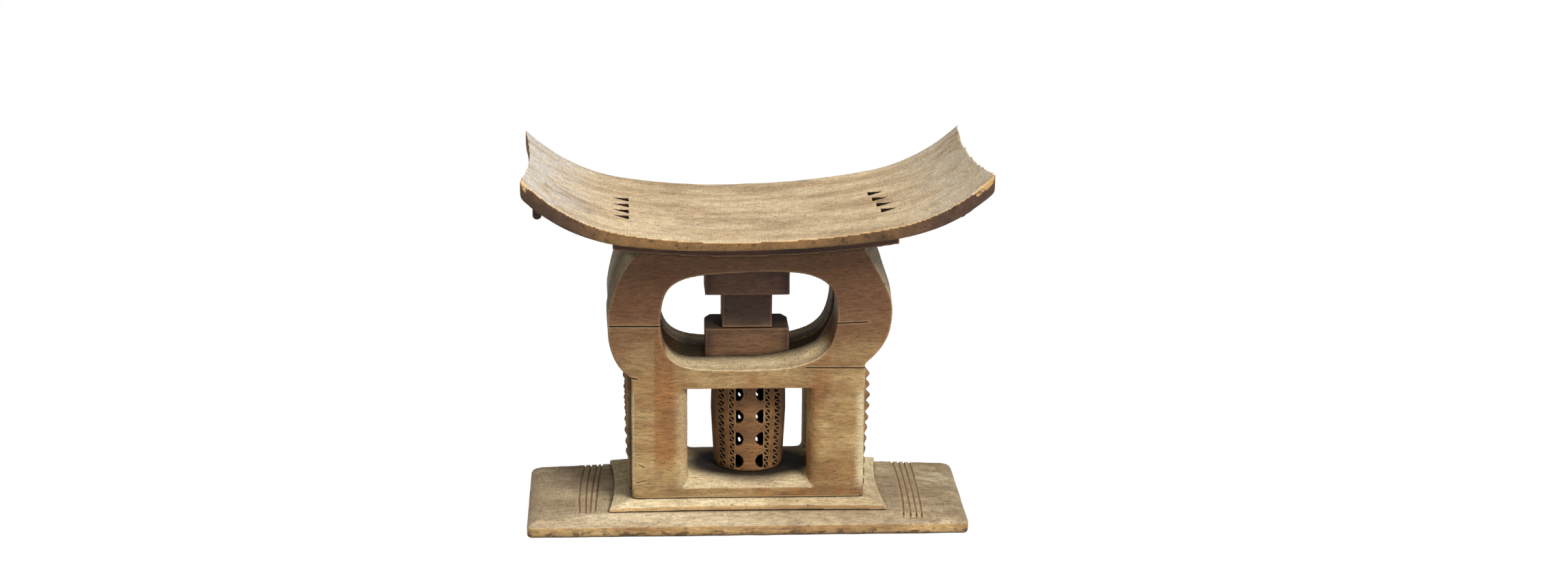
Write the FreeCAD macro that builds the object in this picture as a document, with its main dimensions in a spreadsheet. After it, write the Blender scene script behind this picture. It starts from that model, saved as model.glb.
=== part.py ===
# Carved ceremonial stool: a crescent seat on a bearer, two looped frames with studded legs,
# a central column with a pierced drum, and a base board in three steps.
# Millimetres, +Z up, +X to the stool's right seen from the front, front at -Y.
# The origin is the centre of the base board's flat underside.
import FreeCAD
import Part
import Sketcher
import math
import os

SIZE_TABLE = [
    # base board
    ("board_length", 540.0),
    ("board_depth", 208.0),
    ("board_edge_height", 13.0),
    ("board_height", 26.0),
    ("board_bevel_depth", 15.0),
    ("board_end_slope_length", 98.0),
    ("board_corner_radius", 9.0),
    # lower step, with hollowed sides
    ("step_side_reach", 27.4),
    ("step_front_reach", 14.0),
    ("step_edge_thickness", 5.6),
    ("step_thickness", 12.6),
    ("step_side_hollow", 6.0),
    ("step_front_hollow", 3.0),
    # upper step that the legs and the drum stand on
    ("plinth_edge_thickness", 13.4),
    ("plinth_crown", 9.6),
    ("plinth_corner_radius", 5.0),
    # frames: a leg each side, a crossbar and a loop above it
    ("frame_depth", 147.0),
    ("frame_gap", 63.4),
    ("leg_span", 284.2),
    ("leg_gap", 146.8),
    ("leg_inner_radius", 15.0),
    ("leg_outer_radius", 5.0),
    ("crossbar_underside", 178.6),
    ("left_knee_level", 193.0),
    ("right_knee_level", 209.0),
    ("loop_width", 344.4),
    ("eye_width", 212.4),
    ("eye_sill", 203.0),
    ("eye_top", 325.0),
    # studs on the outer sides of the legs
    ("left_stud_pitch", 12.8),
    ("right_stud_pitch", 13.3),
    ("stud_gap", 0.6),
    ("stud_height", 10.5),
    ("stud_tip", 1.6),
    # central column
    ("drum_top_radius", 45.6),
    ("drum_belly_radius", 46.6),
    ("drum_foot_radius", 42.8),
    ("drum_shift", 3.0),
    ("drum_hollow_radius", 33.0),
    ("drum_floor", 8.0),
    ("drum_opening_radius", 9.4),
    ("drum_panel_width", 33.6),
    ("drum_opening_pitch", 29.4),
    ("drum_opening_margin", 12.4),
    ("block_width", 103.0),
    ("block_level", 243.0),
    ("block_chamfer", 7.0),
    ("neck_width", 62.0),
    ("neck_depth", 50.0),
    ("neck_foot_height", 12.0),
    ("neck_foot_reach", 5.0),
    ("head_level", 284.6),
    ("head_width", 104.0),
    # bearer under the seat
    ("bearer_left_reach", 163.0),
    ("bearer_right_reach", 179.5),
    ("bearer_depth", 160.0),
    ("bearer_level", 346.8),
    ("bearer_left_rise", 9.0),
    ("bearer_right_rise", 14.5),
    # seat
    ("seat_front_width", 556.5),
    ("seat_back_width", 544.0),
    ("seat_depth", 279.2),
    ("seat_skew", 8.0),
    ("seat_level", 381.6),
    ("seat_rise", 77.6),
    ("seat_thickness", 12.0),
    ("seat_end_thickness", 26.0),
    ("seat_end_hollow", 8.0),
    # slits through the seat
    ("slit_length", 17.0),
    ("slit_width", 11.0),
    ("slit_pitch", 28.0),
    ("left_slit_reach", 143.5),
    ("right_slit_reach", 150.0),
    ("slit_back_row", 28.0),
    ("slit_slant", 3.0),
    # lugs under the seat's ends
    ("lug_inset", 9.2),
    ("lug_width", 11.4),
    ("lug_depth", 18.0),
    ("lug_level", 375.0),
    ("lug_radius", 4.0),
    # how far every cut runs past the wood
    ("overrun", 20.0),
]

# Two places nearer than this are the same place.
SAME_PLACE = 1e-6
CURVE_DEGREE = 3

STUD_COUNT = 11
SLIT_COUNT = 4
DRUM_OPENING_ROWS = 4
# Straight chisel cuts that make up the round side of each opening in the drum.
DRUM_OPENING_CUTS = 6

# Points of the seat's curve, which is a run of arcs, each through three of them: shares of half
# the front width, and of the rise from the middle. The left side sags more than the right.
SEAT_CURVE_SHARES = [
    (-1.05, 1.193), (-0.96, 0.865), (-0.86, 0.575), (-0.73, 0.315), (-0.55, 0.122),
    (-0.28, 0.013), (0.0, 0.003), (0.28, 0.063), (0.55, 0.199), (0.73, 0.386),
    (0.86, 0.635), (0.96, 0.917), (1.05, 1.250),
]
# Poles of a loop's outline on each side, from the top down to the knee: shares of half the
# loop's width, and of the height from the knee to the bearer. The rear ones flare at the top.
LOOP_LEFT_FRONT_SHARES = [
    (0.767, 1.015), (0.904, 0.866), (0.981, 0.552), (0.994, 0.516), (0.978, 0.117)]
LOOP_LEFT_REAR_SHARES = [
    (0.866, 1.015), (0.945, 0.866), (0.998, 0.552), (1.0, 0.516), (0.978, 0.117)]
LOOP_RIGHT_FRONT_SHARES = [
    (0.810, 1.036), (0.903, 0.850), (1.016, 0.618), (1.012, 0.397), (0.980, 0.176)]
LOOP_RIGHT_REAR_SHARES = [
    (0.903, 1.036), (0.950, 0.850), (1.030, 0.618), (1.016, 0.397), (0.980, 0.176)]
# Poles of each half of the eye: shares of half its width, and of its height from the sill.
EYE_LEFT_SHARES = [
    (0.0, 1.0), (-0.42, 0.985), (-0.876, 0.954), (-1.005, 0.665), (-1.005, 0.283),
    (-0.855, 0.007), (-0.38, 0.0), (0.0, 0.0),
]
EYE_RIGHT_SHARES = [
    (0.0, 0.0), (0.40, 0.0), (0.789, 0.071), (0.995, 0.28), (1.032, 0.73),
    (0.837, 0.98), (0.37, 1.013), (0.0, 1.0),
]
# The barrel is widest at this share of its height.
DRUM_BELLY_SHARE = 0.6
# Points of the base board's end slopes: shares of their length outwards, and of their fall.
# A straight fall comes first, and then the end rounds over through the last two.
END_SLOPE_BEND_SHARES = (0.80, 0.42)
END_SLOPE_ROUND_SHARES = (0.93, 0.62)
# How far the plinth's swelling has risen halfway in.
SWELL_SHARE = 0.62

doc = FreeCAD.newDocument("stool")
sheet = doc.addObject("Spreadsheet::Sheet", "Sizes")
nodes = []


class Length:
    """A length worked out from the named sizes: its value and the formula that gives it."""

    def __init__(self, value, formula):
        self.value = value
        self.formula = formula

    def __add__(self, other):
        return Length(self.value + other.value, "(%s + %s)" % (self.formula, other.formula))

    def __sub__(self, other):
        return Length(self.value - other.value, "(%s - %s)" % (self.formula, other.formula))

    def __neg__(self):
        return Length(-self.value, "(0 - %s)" % self.formula)

    def __mul__(self, share):
        return Length(self.value * share, "(%s * %.6f)" % (self.formula, share))

    def __truediv__(self, share):
        return Length(self.value / share, "(%s / %.6f)" % (self.formula, share))


ZERO = Length(0.0, "0")


def fill_sheet():
    for row, (alias, value) in enumerate(SIZE_TABLE, start=1):
        sheet.set("A%d" % row, alias.replace("_", " "))
        sheet.set("B%d" % row, str(value))
        sheet.setAlias("B%d" % row, alias)
    doc.recompute()


def size(alias):
    """A named size, as a length bound to its cell."""
    return Length(float(sheet.get(alias)), "Sizes.%s" % alias)


def bind(thing, prop, length):
    thing.setExpression(prop, length.formula)


def new_body(name):
    body = doc.addObject("PartDesign::Body", name)
    body.Label = name
    nodes.append(body)
    return body


def new_sketch(body, name, role, offset=ZERO, across=ZERO):
    """A sketch on one of the body's own origin planes, moved along its normal and across it."""
    sketch = body.newObject("Sketcher::SketchObject", name)
    plane = [feature for feature in body.Origin.OriginFeatures if feature.Role == role][0]
    sketch.AttachmentSupport = [(plane, "")]
    sketch.MapMode = "FlatFace"
    place = FreeCAD.Vector(across.value, 0, offset.value)
    sketch.AttachmentOffset = FreeCAD.Placement(place, FreeCAD.Rotation())
    bind(sketch, "AttachmentOffset.Base.x", across)
    bind(sketch, "AttachmentOffset.Base.z", offset)
    return sketch


def pin(sketch, geometry, end, point):
    """Hold one point of a sketch at its place from the sketch's origin."""
    for kind, length in (("DistanceX", point[0]), ("DistanceY", point[1])):
        index = sketch.addConstraint(Sketcher.Constraint(kind, -1, 1, geometry, end, length.value))
        sketch.setExpression("Constraints[%d]" % index, length.formula)


def vector(point):
    return FreeCAD.Vector(point[0].value, point[1].value, 0)


def add_spline(sketch, poles, first, last):
    """A cubic curve with its poles pinned from the first to the last asked for."""
    inner = len(poles) - CURVE_DEGREE - 1
    curve = Part.BSplineCurve()
    full = CURVE_DEGREE + 1
    curve.buildFromPolesMultsKnots(
        [vector(pole) for pole in poles], [full] + [1] * inner + [full],
        list(range(inner + 2)), False, CURVE_DEGREE)
    index = sketch.addGeometry(curve, False)
    sketch.exposeInternalGeometry(index)
    for step, pole in enumerate(poles):
        if first <= step <= last:
            pin(sketch, index + 1 + step, 3, pole)
    return index


def add_arc(sketch, start, middle, end):
    arc = Part.Arc(vector(start), vector(middle), vector(end))
    index = sketch.addGeometry(arc, False)
    # a sketch keeps every arc anticlockwise, so the ends of a clockwise one change places
    forward = (sketch.getPoint(index, 1) - vector(start)).Length
    backward = (sketch.getPoint(index, 2) - vector(start)).Length
    guide = sketch.addGeometry(Part.Point(vector(middle)), True)
    sketch.addConstraint(Sketcher.Constraint("PointOnObject", guide, 1, index))
    pin(sketch, guide, 1, middle)
    return index, forward <= backward


def outline(sketch, start, pieces):
    """A closed outline. Each piece is ("line", end), ("arc", middle, end) or ("curve", poles)."""
    ends = []
    here = start
    for piece in pieces:
        kind = piece[0]
        there = piece[1][-1] if kind == "curve" else piece[-1]
        if kind == "line":
            index = sketch.addGeometry(Part.LineSegment(vector(here), vector(there)), False)
            ends.append((index, 1, 2, False, there))
        elif kind == "arc":
            index, is_forward = add_arc(sketch, here, piece[1], there)
            ends.append((index, 1 if is_forward else 2, 2 if is_forward else 1, False, there))
        else:
            after_curve = bool(ends) and ends[-1][3]
            closes_on_curve = piece is pieces[-1] and pieces[0][0] == "curve"
            last = len(piece[1]) - 1 if closes_on_curve else len(piece[1])
            index = add_spline(sketch, [here] + piece[1], 1 if after_curve else 0, last)
            ends.append((index, 1, 2, True, there))
        here = there
    count = len(ends)
    for step in range(count):
        index, _, last, is_curve, point = ends[step]
        after = ends[(step + 1) % count]
        sketch.addConstraint(Sketcher.Constraint("Coincident", index, last, after[0], after[1]))
        if not is_curve and not after[3]:
            pin(sketch, index, last, point)


def polygon(sketch, corners):
    outline(sketch, corners[0], [("line", corner) for corner in corners[1:] + corners[:1]])


def pad(body, name, sketch, length, midplane=False, is_reversed=False):
    feature = body.newObject("PartDesign::Pad", name)
    feature.Profile = sketch
    bind(feature, "Length", length)
    feature.Length = length.value
    feature.Midplane = midplane
    feature.Reversed = is_reversed
    body.Tip = feature
    return feature


def pocket(body, name, sketch, length, midplane=False, is_reversed=False):
    """A cut, which must take some wood away."""
    doc.recompute()
    before = body.Shape.Volume
    feature = body.newObject("PartDesign::Pocket", name)
    feature.Profile = sketch
    bind(feature, "Length", length)
    feature.Length = length.value
    feature.Midplane = midplane
    feature.Reversed = is_reversed
    body.Tip = feature
    doc.recompute()
    if not body.Shape.Volume < before:
        raise RuntimeError("%s in %s cuts nothing" % (name, body.Label))
    return feature


def edges_where(shape, test):
    return ["Edge%d" % (step + 1) for step, edge in enumerate(shape.Edges) if test(edge)]


def is_upright(edge):
    box = edge.BoundBox
    return box.XLength < SAME_PLACE and box.YLength < SAME_PLACE


def fillet(body, name, base, edges, radius):
    feature = body.newObject("PartDesign::Fillet", name)
    feature.Base = (base, edges)
    bind(feature, "Radius", radius)
    feature.Radius = radius.value
    body.Tip = feature
    doc.recompute()
    return feature


def base_board():
    """The board that everything stands on: bevelled front and back, thinner towards its ends."""
    body = new_body("base_board")
    half_length = size("board_length") / 2
    half_depth = size("board_depth") / 2
    edge = size("board_edge_height")
    top = size("board_height")
    plan = new_sketch(body, "board_plan", "XY_Plane")
    polygon(plan, [
        (-half_length, -half_depth), (half_length, -half_depth),
        (half_length, half_depth), (-half_length, half_depth)])
    block = pad(body, "board_block", plan, top)
    doc.recompute()
    fillet(body, "board_corners", block, edges_where(body.Shape, is_upright), size("board_corner_radius"))
    flat = half_depth - size("board_bevel_depth")
    past_depth = half_depth + size("overrun")
    above = top + size("overrun")
    bevels = new_sketch(body, "board_bevels", "YZ_Plane")
    for sign in (1, -1):
        polygon(bevels, [
            (flat * sign, top), (half_depth * sign, edge), (past_depth * sign, edge),
            (past_depth * sign, above), (flat * sign, above)])
    pocket(body, "board_bevel_cut", bevels, size("board_length") + size("overrun"), midplane=True)
    slope_start = half_length - size("board_end_slope_length")
    past = half_length + size("overrun")
    slopes = new_sketch(body, "end_slopes", "XZ_Plane")
    for side in (-1, 1):
        bend, rounding = [
            ((slope_start + size("board_end_slope_length") * out) * side, top - (top - edge) * fall)
            for out, fall in (END_SLOPE_BEND_SHARES, END_SLOPE_ROUND_SHARES)]
        start = (slope_start * side, top)
        outline(slopes, start, [
            ("line", bend), ("arc", rounding, (half_length * side, edge)),
            ("line", (past * side, edge)), ("line", (past * side, above)),
            ("line", (slope_start * side, above)), ("line", start)])
    pocket(body, "end_slope_cut", slopes, size("board_depth") + size("overrun"), midplane=True)
    return top


def lower_step(floor):
    """A thin step with hollowed sides, so its corners flare, sloping down to a thin rim."""
    body = new_body("lower_step")
    plinth_half_length = size("leg_span") / 2
    plinth_half_depth = size("frame_depth") / 2
    half_length = plinth_half_length + size("step_side_reach")
    half_depth = plinth_half_depth + size("step_front_reach")
    side = half_length - size("step_side_hollow")
    front = half_depth - size("step_front_hollow")
    plan = new_sketch(body, "step_plan", "XY_Plane", floor)
    outline(plan, (-half_length, -half_depth), [
        ("arc", (ZERO, -front), (half_length, -half_depth)),
        ("arc", (side, ZERO), (half_length, half_depth)),
        ("arc", (ZERO, front), (-half_length, half_depth)),
        ("arc", (-side, ZERO), (-half_length, -half_depth))])
    pad(body, "step_pad", plan, size("step_thickness"))
    rim = floor + size("step_edge_thickness")
    top = floor + size("step_thickness")
    above = top + size("overrun")
    cuts = (
        ("YZ_Plane", half_depth, plinth_half_depth, half_length * 2),
        ("XZ_Plane", half_length, plinth_half_length, half_depth * 2),
    )
    for role, rim_place, top_place, run in cuts:
        past = rim_place + size("overrun")
        slope = new_sketch(body, "rim_%s" % role[:2], role)
        for sign in (1, -1):
            polygon(slope, [
                (top_place * sign, top), (rim_place * sign, rim), (past * sign, rim),
                (past * sign, above), (top_place * sign, above)])
        pocket(body, "rim_cut_%s" % role[:2], slope, run + size("overrun"), midplane=True)
    return top


def upper_step(floor):
    """The block the legs grow from. Its top swells between the legs, up to the drum's foot."""
    body = new_body("upper_step")
    half_length = size("leg_span") / 2
    half_depth = size("frame_depth") / 2
    half_gap = size("leg_gap") / 2
    half_frame_gap = size("frame_gap") / 2
    plan = new_sketch(body, "plinth_plan", "XY_Plane", floor)
    polygon(plan, [
        (-half_length, -half_depth), (half_length, -half_depth),
        (half_length, half_depth), (-half_length, half_depth)])
    block = pad(body, "plinth_block", plan, size("plinth_edge_thickness"))
    doc.recompute()
    fillet(body, "plinth_corners", block, edges_where(body.Shape, is_upright), size("plinth_corner_radius"))
    seat_level = floor + size("plinth_edge_thickness")
    crown = seat_level + size("plinth_crown")
    crown_half = size("drum_belly_radius")
    swell = seat_level + size("plinth_crown") * SWELL_SHARE
    swell_place = (half_depth + crown_half) / 2
    arch = new_sketch(body, "swell_section", "YZ_Plane")
    outline(arch, (-half_depth, seat_level), [
        ("line", (half_depth, seat_level)),
        ("arc", (swell_place, swell), (crown_half, crown)),
        ("line", (-crown_half, crown)),
        ("arc", (-swell_place, swell), (-half_depth, seat_level))])
    pad(body, "swell_between_legs", arch, size("leg_gap"), midplane=True)
    side = new_sketch(body, "side_swell_section", "XZ_Plane")
    side_place = (half_length + half_gap) / 2
    outline(side, (-half_length, seat_level), [
        ("line", (half_length, seat_level)),
        ("arc", (side_place, swell), (half_gap, crown)),
        ("line", (-half_gap, crown)),
        ("arc", (-side_place, swell), (-half_length, seat_level))])
    pad(body, "swell_between_frames", side, half_frame_gap * 2, midplane=True)
    doc.recompute()
    return seat_level, crown


def leg(name, floor, side, front):
    """A square leg with its inner corner well rounded. side and front are 1 or -1."""
    body = new_body(name)
    inner = size("leg_gap") / 2 * side
    outer = size("leg_span") / 2 * side
    near = size("frame_gap") / 2 * -front
    face = size("frame_depth") / 2 * -front
    plan = new_sketch(body, name + "_plan", "XY_Plane", floor)
    polygon(plan, [(inner, near), (outer, near), (outer, face), (inner, face)])
    block = pad(body, name + "_block", plan, size("crossbar_underside") - floor)
    doc.recompute()

    def at_corner(edge, x_place, y_place):
        box = edge.BoundBox
        is_there = abs(box.XMin - x_place) < SAME_PLACE and abs(box.YMin - y_place) < SAME_PLACE
        return is_upright(edge) and is_there

    inner_edge = edges_where(body.Shape, lambda edge: at_corner(edge, inner.value, face.value))
    rounded = fillet(body, name + "_inner_round", block, inner_edge, size("leg_inner_radius"))
    outer_edge = edges_where(body.Shape, lambda edge: at_corner(edge, outer.value, face.value))
    fillet(body, name + "_outer_round", rounded, outer_edge, size("leg_outer_radius"))


def studs(name, floor, side, front):
    """A column of blunt pyramids on a leg's outer side, each a separate solid of one group."""
    pitch = size("left_stud_pitch") if side < 0 else size("right_stud_pitch")
    base = pitch - size("stud_gap")
    tip = size("stud_tip")
    mid = (size("frame_depth") + size("frame_gap")) / 4 * -front
    face = size("leg_span") / 2 * side
    pyramids = []
    for step in range(STUD_COUNT):
        pyramid = doc.addObject("Part::Wedge", "%s_%d" % (name, step + 1))
        low = (base - tip) / 2
        high = (base + tip) / 2
        for prop, length in (
                ("Xmin", ZERO), ("Xmax", base), ("Zmin", ZERO), ("Zmax", base),
                ("Ymin", ZERO), ("Ymax", size("stud_height")),
                ("X2min", low), ("X2max", high), ("Z2min", low), ("Z2max", high)):
            setattr(pyramid, prop, length.value)
            bind(pyramid, prop, length)
        # the wedge grows along its own Y, which is turned to point away from the leg
        pyramid.Placement.Rotation = FreeCAD.Rotation(FreeCAD.Vector(0, 0, 1), -90.0 * side)
        bind(pyramid, "Placement.Base.x", face)
        bind(pyramid, "Placement.Base.y", mid + base / 2 * side)
        bind(pyramid, "Placement.Base.z", floor + pitch * step)
        pyramids.append(pyramid)
    group = doc.addObject("Part::Compound", name)
    group.Label = name
    group.Links = pyramids
    nodes.append(group)


def bearer_arc_points():
    """Three points of the bearer's underside, which the loops and the column end against."""
    level = size("bearer_level")
    left = (-size("bearer_left_reach"), level + size("bearer_left_rise"))
    right = (size("bearer_right_reach"), level + size("bearer_right_rise"))
    return left, (ZERO, level), right


def trim_at_bearer(body, name, run):
    """Cut away what would reach above the bearer's underside."""
    left, middle, right = bearer_arc_points()
    above = size("seat_level")
    sketch = new_sketch(body, name, "XZ_Plane")
    outline(sketch, left, [
        ("arc", middle, right), ("line", (right[0], above)), ("line", (left[0], above)), ("line", left)])
    pocket(body, name + "_cut", sketch, run, midplane=True)


def loop_side(side, knee, shares):
    """The poles of one side of a loop's outline, from the top down to the knee."""
    half = size("loop_width") / 2 * side
    height = size("bearer_level") - knee
    poles = [(half * wide, knee + height * high) for wide, high in shares]
    return poles + [(size("leg_span") / 2 * side, knee)]


def loop_outline(body, name, offset, left_shares, right_shares):
    leg_half = size("leg_span") / 2
    foot = size("crossbar_underside")
    top = size("bearer_level") + size("bearer_right_rise")
    left = loop_side(-1, size("left_knee_level"), left_shares)
    right = loop_side(1, size("right_knee_level"), right_shares)
    left_up = list(reversed(left))
    sketch = new_sketch(body, name, "XZ_Plane", offset)
    outline(sketch, (-leg_half, foot), [
        ("line", left_up[0]), ("curve", left_up[1:]),
        ("line", (left[0][0], top)), ("line", (right[0][0], top)), ("line", right[0]),
        ("curve", right[1:]), ("line", (leg_half, foot)), ("line", (-leg_half, foot))])
    return sketch


def eye_outline(body, name):
    half = size("eye_width") / 2
    sill = size("eye_sill")
    height = size("eye_top") - sill
    left = [(half * wide, sill + height * high) for wide, high in EYE_LEFT_SHARES]
    right = [(half * wide, sill + height * high) for wide, high in EYE_RIGHT_SHARES]
    sketch = new_sketch(body, name, "XZ_Plane")
    outline(sketch, left[0], [("curve", left[1:]), ("curve", right[1:])])
    return sketch


def loop(name, front):
    """A crossbar with a loop above it that flares to the rear, cut by a wide eye."""
    body = new_body(name)
    outer_face = size("frame_depth") / 2 * front
    inner_face = size("frame_gap") / 2 * front
    near, far = (outer_face, inner_face) if front > 0 else (inner_face, outer_face)
    sections = [
        loop_outline(body, name + "_near", near, LOOP_LEFT_FRONT_SHARES, LOOP_RIGHT_FRONT_SHARES),
        loop_outline(body, name + "_far", far, LOOP_LEFT_REAR_SHARES, LOOP_RIGHT_REAR_SHARES)]
    blank = body.newObject("PartDesign::AdditiveLoft", name + "_blank")
    blank.Profile = sections[0]
    blank.Sections = [sections[1]]
    blank.Ruled = True
    body.Tip = blank
    through = size("frame_depth") + size("overrun")
    pocket(body, name + "_eye", eye_outline(body, name + "_eye_outline"), through, midplane=True)
    trim_at_bearer(body, name + "_top", through)


def drum(floor):
    """A hollow barrel pierced front and back by two columns of half-round openings."""
    body = new_body("drum")
    top = size("crossbar_underside")
    height = top - floor
    belly_level = floor + height * DRUM_BELLY_SHARE
    hollow = size("drum_hollow_radius")
    hollow_floor = floor + size("drum_floor")
    hollow_top = top - size("drum_floor")
    profile = new_sketch(body, "drum_profile", "XZ_Plane", across=size("drum_shift"))
    outline(profile, (ZERO, floor), [
        ("line", (size("drum_foot_radius"), floor)),
        ("line", (size("drum_belly_radius"), belly_level)),
        ("line", (size("drum_top_radius"), top)),
        ("line", (ZERO, top)), ("line", (ZERO, floor))])
    barrel = body.newObject("PartDesign::Revolution", "drum_barrel")
    barrel.Profile = profile
    barrel.ReferenceAxis = (profile, ["V_Axis"])
    barrel.Angle = 360.0
    body.Tip = barrel
    doc.recompute()
    pierce_drum(body, floor)
    before = body.Shape.Volume
    room = new_sketch(body, "drum_room", "XZ_Plane", across=size("drum_shift"))
    polygon(room, [
        (ZERO, hollow_floor), (hollow, hollow_floor), (hollow, hollow_top), (ZERO, hollow_top)])
    hollowed = body.newObject("PartDesign::Groove", "drum_hollow")
    hollowed.Profile = room
    hollowed.ReferenceAxis = (room, ["V_Axis"])
    hollowed.Angle = 360.0
    body.Tip = hollowed
    doc.recompute()
    if not body.Shape.Volume < before:
        raise RuntimeError("the hollow of the drum cuts nothing")


def pierce_drum(body, floor):
    """Half-round openings in two columns, straight side outwards, right through the barrel."""
    radius = size("drum_opening_radius")
    straight = size("drum_panel_width") / 2
    first = floor + size("drum_opening_margin")
    openings = new_sketch(body, "drum_openings", "XZ_Plane", across=size("drum_shift"))
    for row in range(DRUM_OPENING_ROWS):
        level = first + size("drum_opening_pitch") * row
        for sign in (1, -1):
            corners = []
            for cut in range(DRUM_OPENING_CUTS + 1):
                angle = math.pi * cut / DRUM_OPENING_CUTS
                in_from_edge = straight - radius * math.sin(angle)
                corners.append((in_from_edge * sign, level - radius * math.cos(angle)))
            polygon(openings, corners)
    pocket(body, "drum_pierced", openings, size("drum_belly_radius") * 2 + size("overrun"), midplane=True)


def column_block():
    """The wide block between the two crossbars, its back corners chamfered."""
    body = new_body("column_block")
    half = size("block_width") / 2
    half_depth = size("frame_gap") / 2
    chamfer = size("block_chamfer")
    floor = size("crossbar_underside")
    plan = new_sketch(body, "block_plan", "XY_Plane", floor)
    polygon(plan, [
        (-half, -half_depth), (half, -half_depth), (half, half_depth - chamfer * 2),
        (half - chamfer, half_depth), (chamfer - half, half_depth), (-half, half_depth - chamfer * 2)])
    pad(body, "block_pad", plan, size("block_level") - floor)


def column_neck():
    """The narrow neck above the block, with a sloping foot in front and behind."""
    body = new_body("column_neck")
    half_depth = size("neck_depth") / 2
    reach = half_depth + size("neck_foot_reach")
    floor = size("block_level")
    bend = floor + size("neck_foot_height")
    top = size("head_level")
    section = new_sketch(body, "neck_section", "YZ_Plane")
    polygon(section, [
        (-reach, floor), (reach, floor), (half_depth, bend), (half_depth, top),
        (-half_depth, top), (-half_depth, bend)])
    pad(body, "neck_pad", section, size("neck_width"), midplane=True)


def column_head():
    """The top block, from the neck up to the bearer, its lower side edges chamfered."""
    body = new_body("column_head")
    half = size("head_width") / 2
    half_depth = size("frame_gap") / 2
    chamfer = size("block_chamfer")
    floor = size("head_level")
    plan = new_sketch(body, "head_plan", "XY_Plane", floor)
    polygon(plan, [
        (-half, -half_depth), (half, -half_depth), (half, half_depth - chamfer * 2),
        (half - chamfer, half_depth), (chamfer - half, half_depth), (-half, half_depth - chamfer * 2)])
    pad(body, "head_pad", plan, size("seat_level") - floor)
    trim_at_bearer(body, "head_top", size("frame_gap") + size("overrun"))


def seat_curve(drop, end_drop):
    """Points of the seat's top curve, or of its underside, which drops away towards the ends."""
    half = size("seat_front_width") / 2
    last = SEAT_CURVE_SHARES[-1][0]
    points = []
    for wide, high in SEAT_CURVE_SHARES:
        lower = drop + (end_drop - drop) * (wide / last) ** 2
        points.append((half * wide, size("seat_level") + size("seat_rise") * high - lower))
    return points


def seat_underside():
    return seat_curve(size("seat_thickness"), size("seat_end_thickness"))


def arcs_through(points):
    """Pieces of an outline that run on from the first point in arcs, each through two more."""
    return [("arc", middle, end) for middle, end in zip(points[1::2], points[2::2])]


def seat_sketch(body, name):
    """A sketch across the seat, turned a little in plan, so its front lies right of its back."""
    sketch = new_sketch(body, name, "XZ_Plane", across=size("seat_skew") / 2)
    turn = math.degrees(math.atan(size("seat_skew").value / size("seat_depth").value))
    place = sketch.AttachmentOffset
    place.Rotation = FreeCAD.Rotation(FreeCAD.Vector(0, 1, 0), turn)
    sketch.AttachmentOffset = place
    sketch.setExpression("AttachmentOffset.Rotation.Angle", "atan(Sizes.seat_skew / Sizes.seat_depth)")
    return sketch


def plan_cut(sketch):
    """All that lies outside the seat in plan. Its ends are hollowed, and its front is skewed."""
    half_depth = size("seat_depth") / 2
    past_depth = half_depth + size("overrun") * 2
    corners = {}
    for side in (-1, 1):
        front = size("seat_front_width") / 2 * side + size("seat_skew")
        back = size("seat_back_width") / 2 * side
        middle = (front + back) / 2 - size("seat_end_hollow") * side
        past = (size("seat_front_width") / 2 + size("overrun") * 2) * side
        corners[side] = (front, middle, back, past)
        outline(sketch, (front, -half_depth), [
            ("arc", (middle, ZERO), (back, half_depth)), ("line", (past, half_depth)),
            ("line", (past, -half_depth)), ("line", (front, -half_depth))])
    left = corners[-1][3]
    right = corners[1][3]
    for sign in (-1, 1):
        polygon(sketch, [
            (left, half_depth * sign), (right, half_depth * sign),
            (right, past_depth * sign), (left, past_depth * sign)])


def slit_outline(sketch, side, row):
    """One small triangle, its point towards the seat's end and its blunt side inwards."""
    back = size("slit_back_row") - size("slit_pitch") * row
    blunt = -size("left_slit_reach")
    if side > 0:
        blunt = size("right_slit_reach") + size("slit_slant") * row
    point = blunt + size("slit_length") * side
    half = size("slit_width") / 2
    polygon(sketch, [(blunt, back - half), (blunt, back + half), (point, back)])


def make_room_for_seat(body, name):
    """Cut the top of a piece to the seat's underside."""
    below = seat_underside()
    sky = size("seat_level") + size("seat_rise") + size("overrun") * 3
    room = seat_sketch(body, name)
    outline(room, below[0], arcs_through(below) + [
        ("line", (below[-1][0], sky)), ("line", (below[0][0], sky)), ("line", below[0])])
    pocket(body, name + "_cut", room, size("seat_depth"), midplane=True)


def seat():
    """The crescent seat: one curved slab, its ends hollowed in plan, with eight small slits."""
    body = new_body("seat")
    top = seat_curve(ZERO, ZERO)
    below = seat_underside()
    section = seat_sketch(body, "seat_section")
    back_along = list(reversed(below))
    outline(section, top[0], arcs_through(top) + [
        ("line", below[-1])] + arcs_through(back_along) + [("line", top[0])])
    pad(body, "seat_blank", section, size("seat_depth") + size("overrun") * 2, midplane=True)
    deep = size("seat_level") + size("seat_rise") + size("overrun") * 2
    plan = new_sketch(body, "seat_plan", "XY_Plane")
    plan_cut(plan)
    pocket(body, "seat_plan_cut", plan, deep, is_reversed=True)
    slits = new_sketch(body, "seat_slits", "XY_Plane")
    for side in (1, -1):
        for row in range(SLIT_COUNT):
            slit_outline(slits, side, row)
    pocket(body, "seat_slit_cut", slits, deep, is_reversed=True)


def seat_bearer():
    """The shallow bearer that the loops and the column carry, curved to the seat above it."""
    body = new_body("seat_bearer")
    left, middle, right = bearer_arc_points()
    above = size("seat_level") + size("seat_rise")
    section = new_sketch(body, "bearer_section", "XZ_Plane")
    outline(section, left, [
        ("arc", middle, right), ("line", (right[0], above)), ("line", (left[0], above)), ("line", left)])
    pad(body, "bearer_blank", section, size("bearer_depth"), midplane=True)
    make_room_for_seat(body, "bearer_room")


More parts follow.
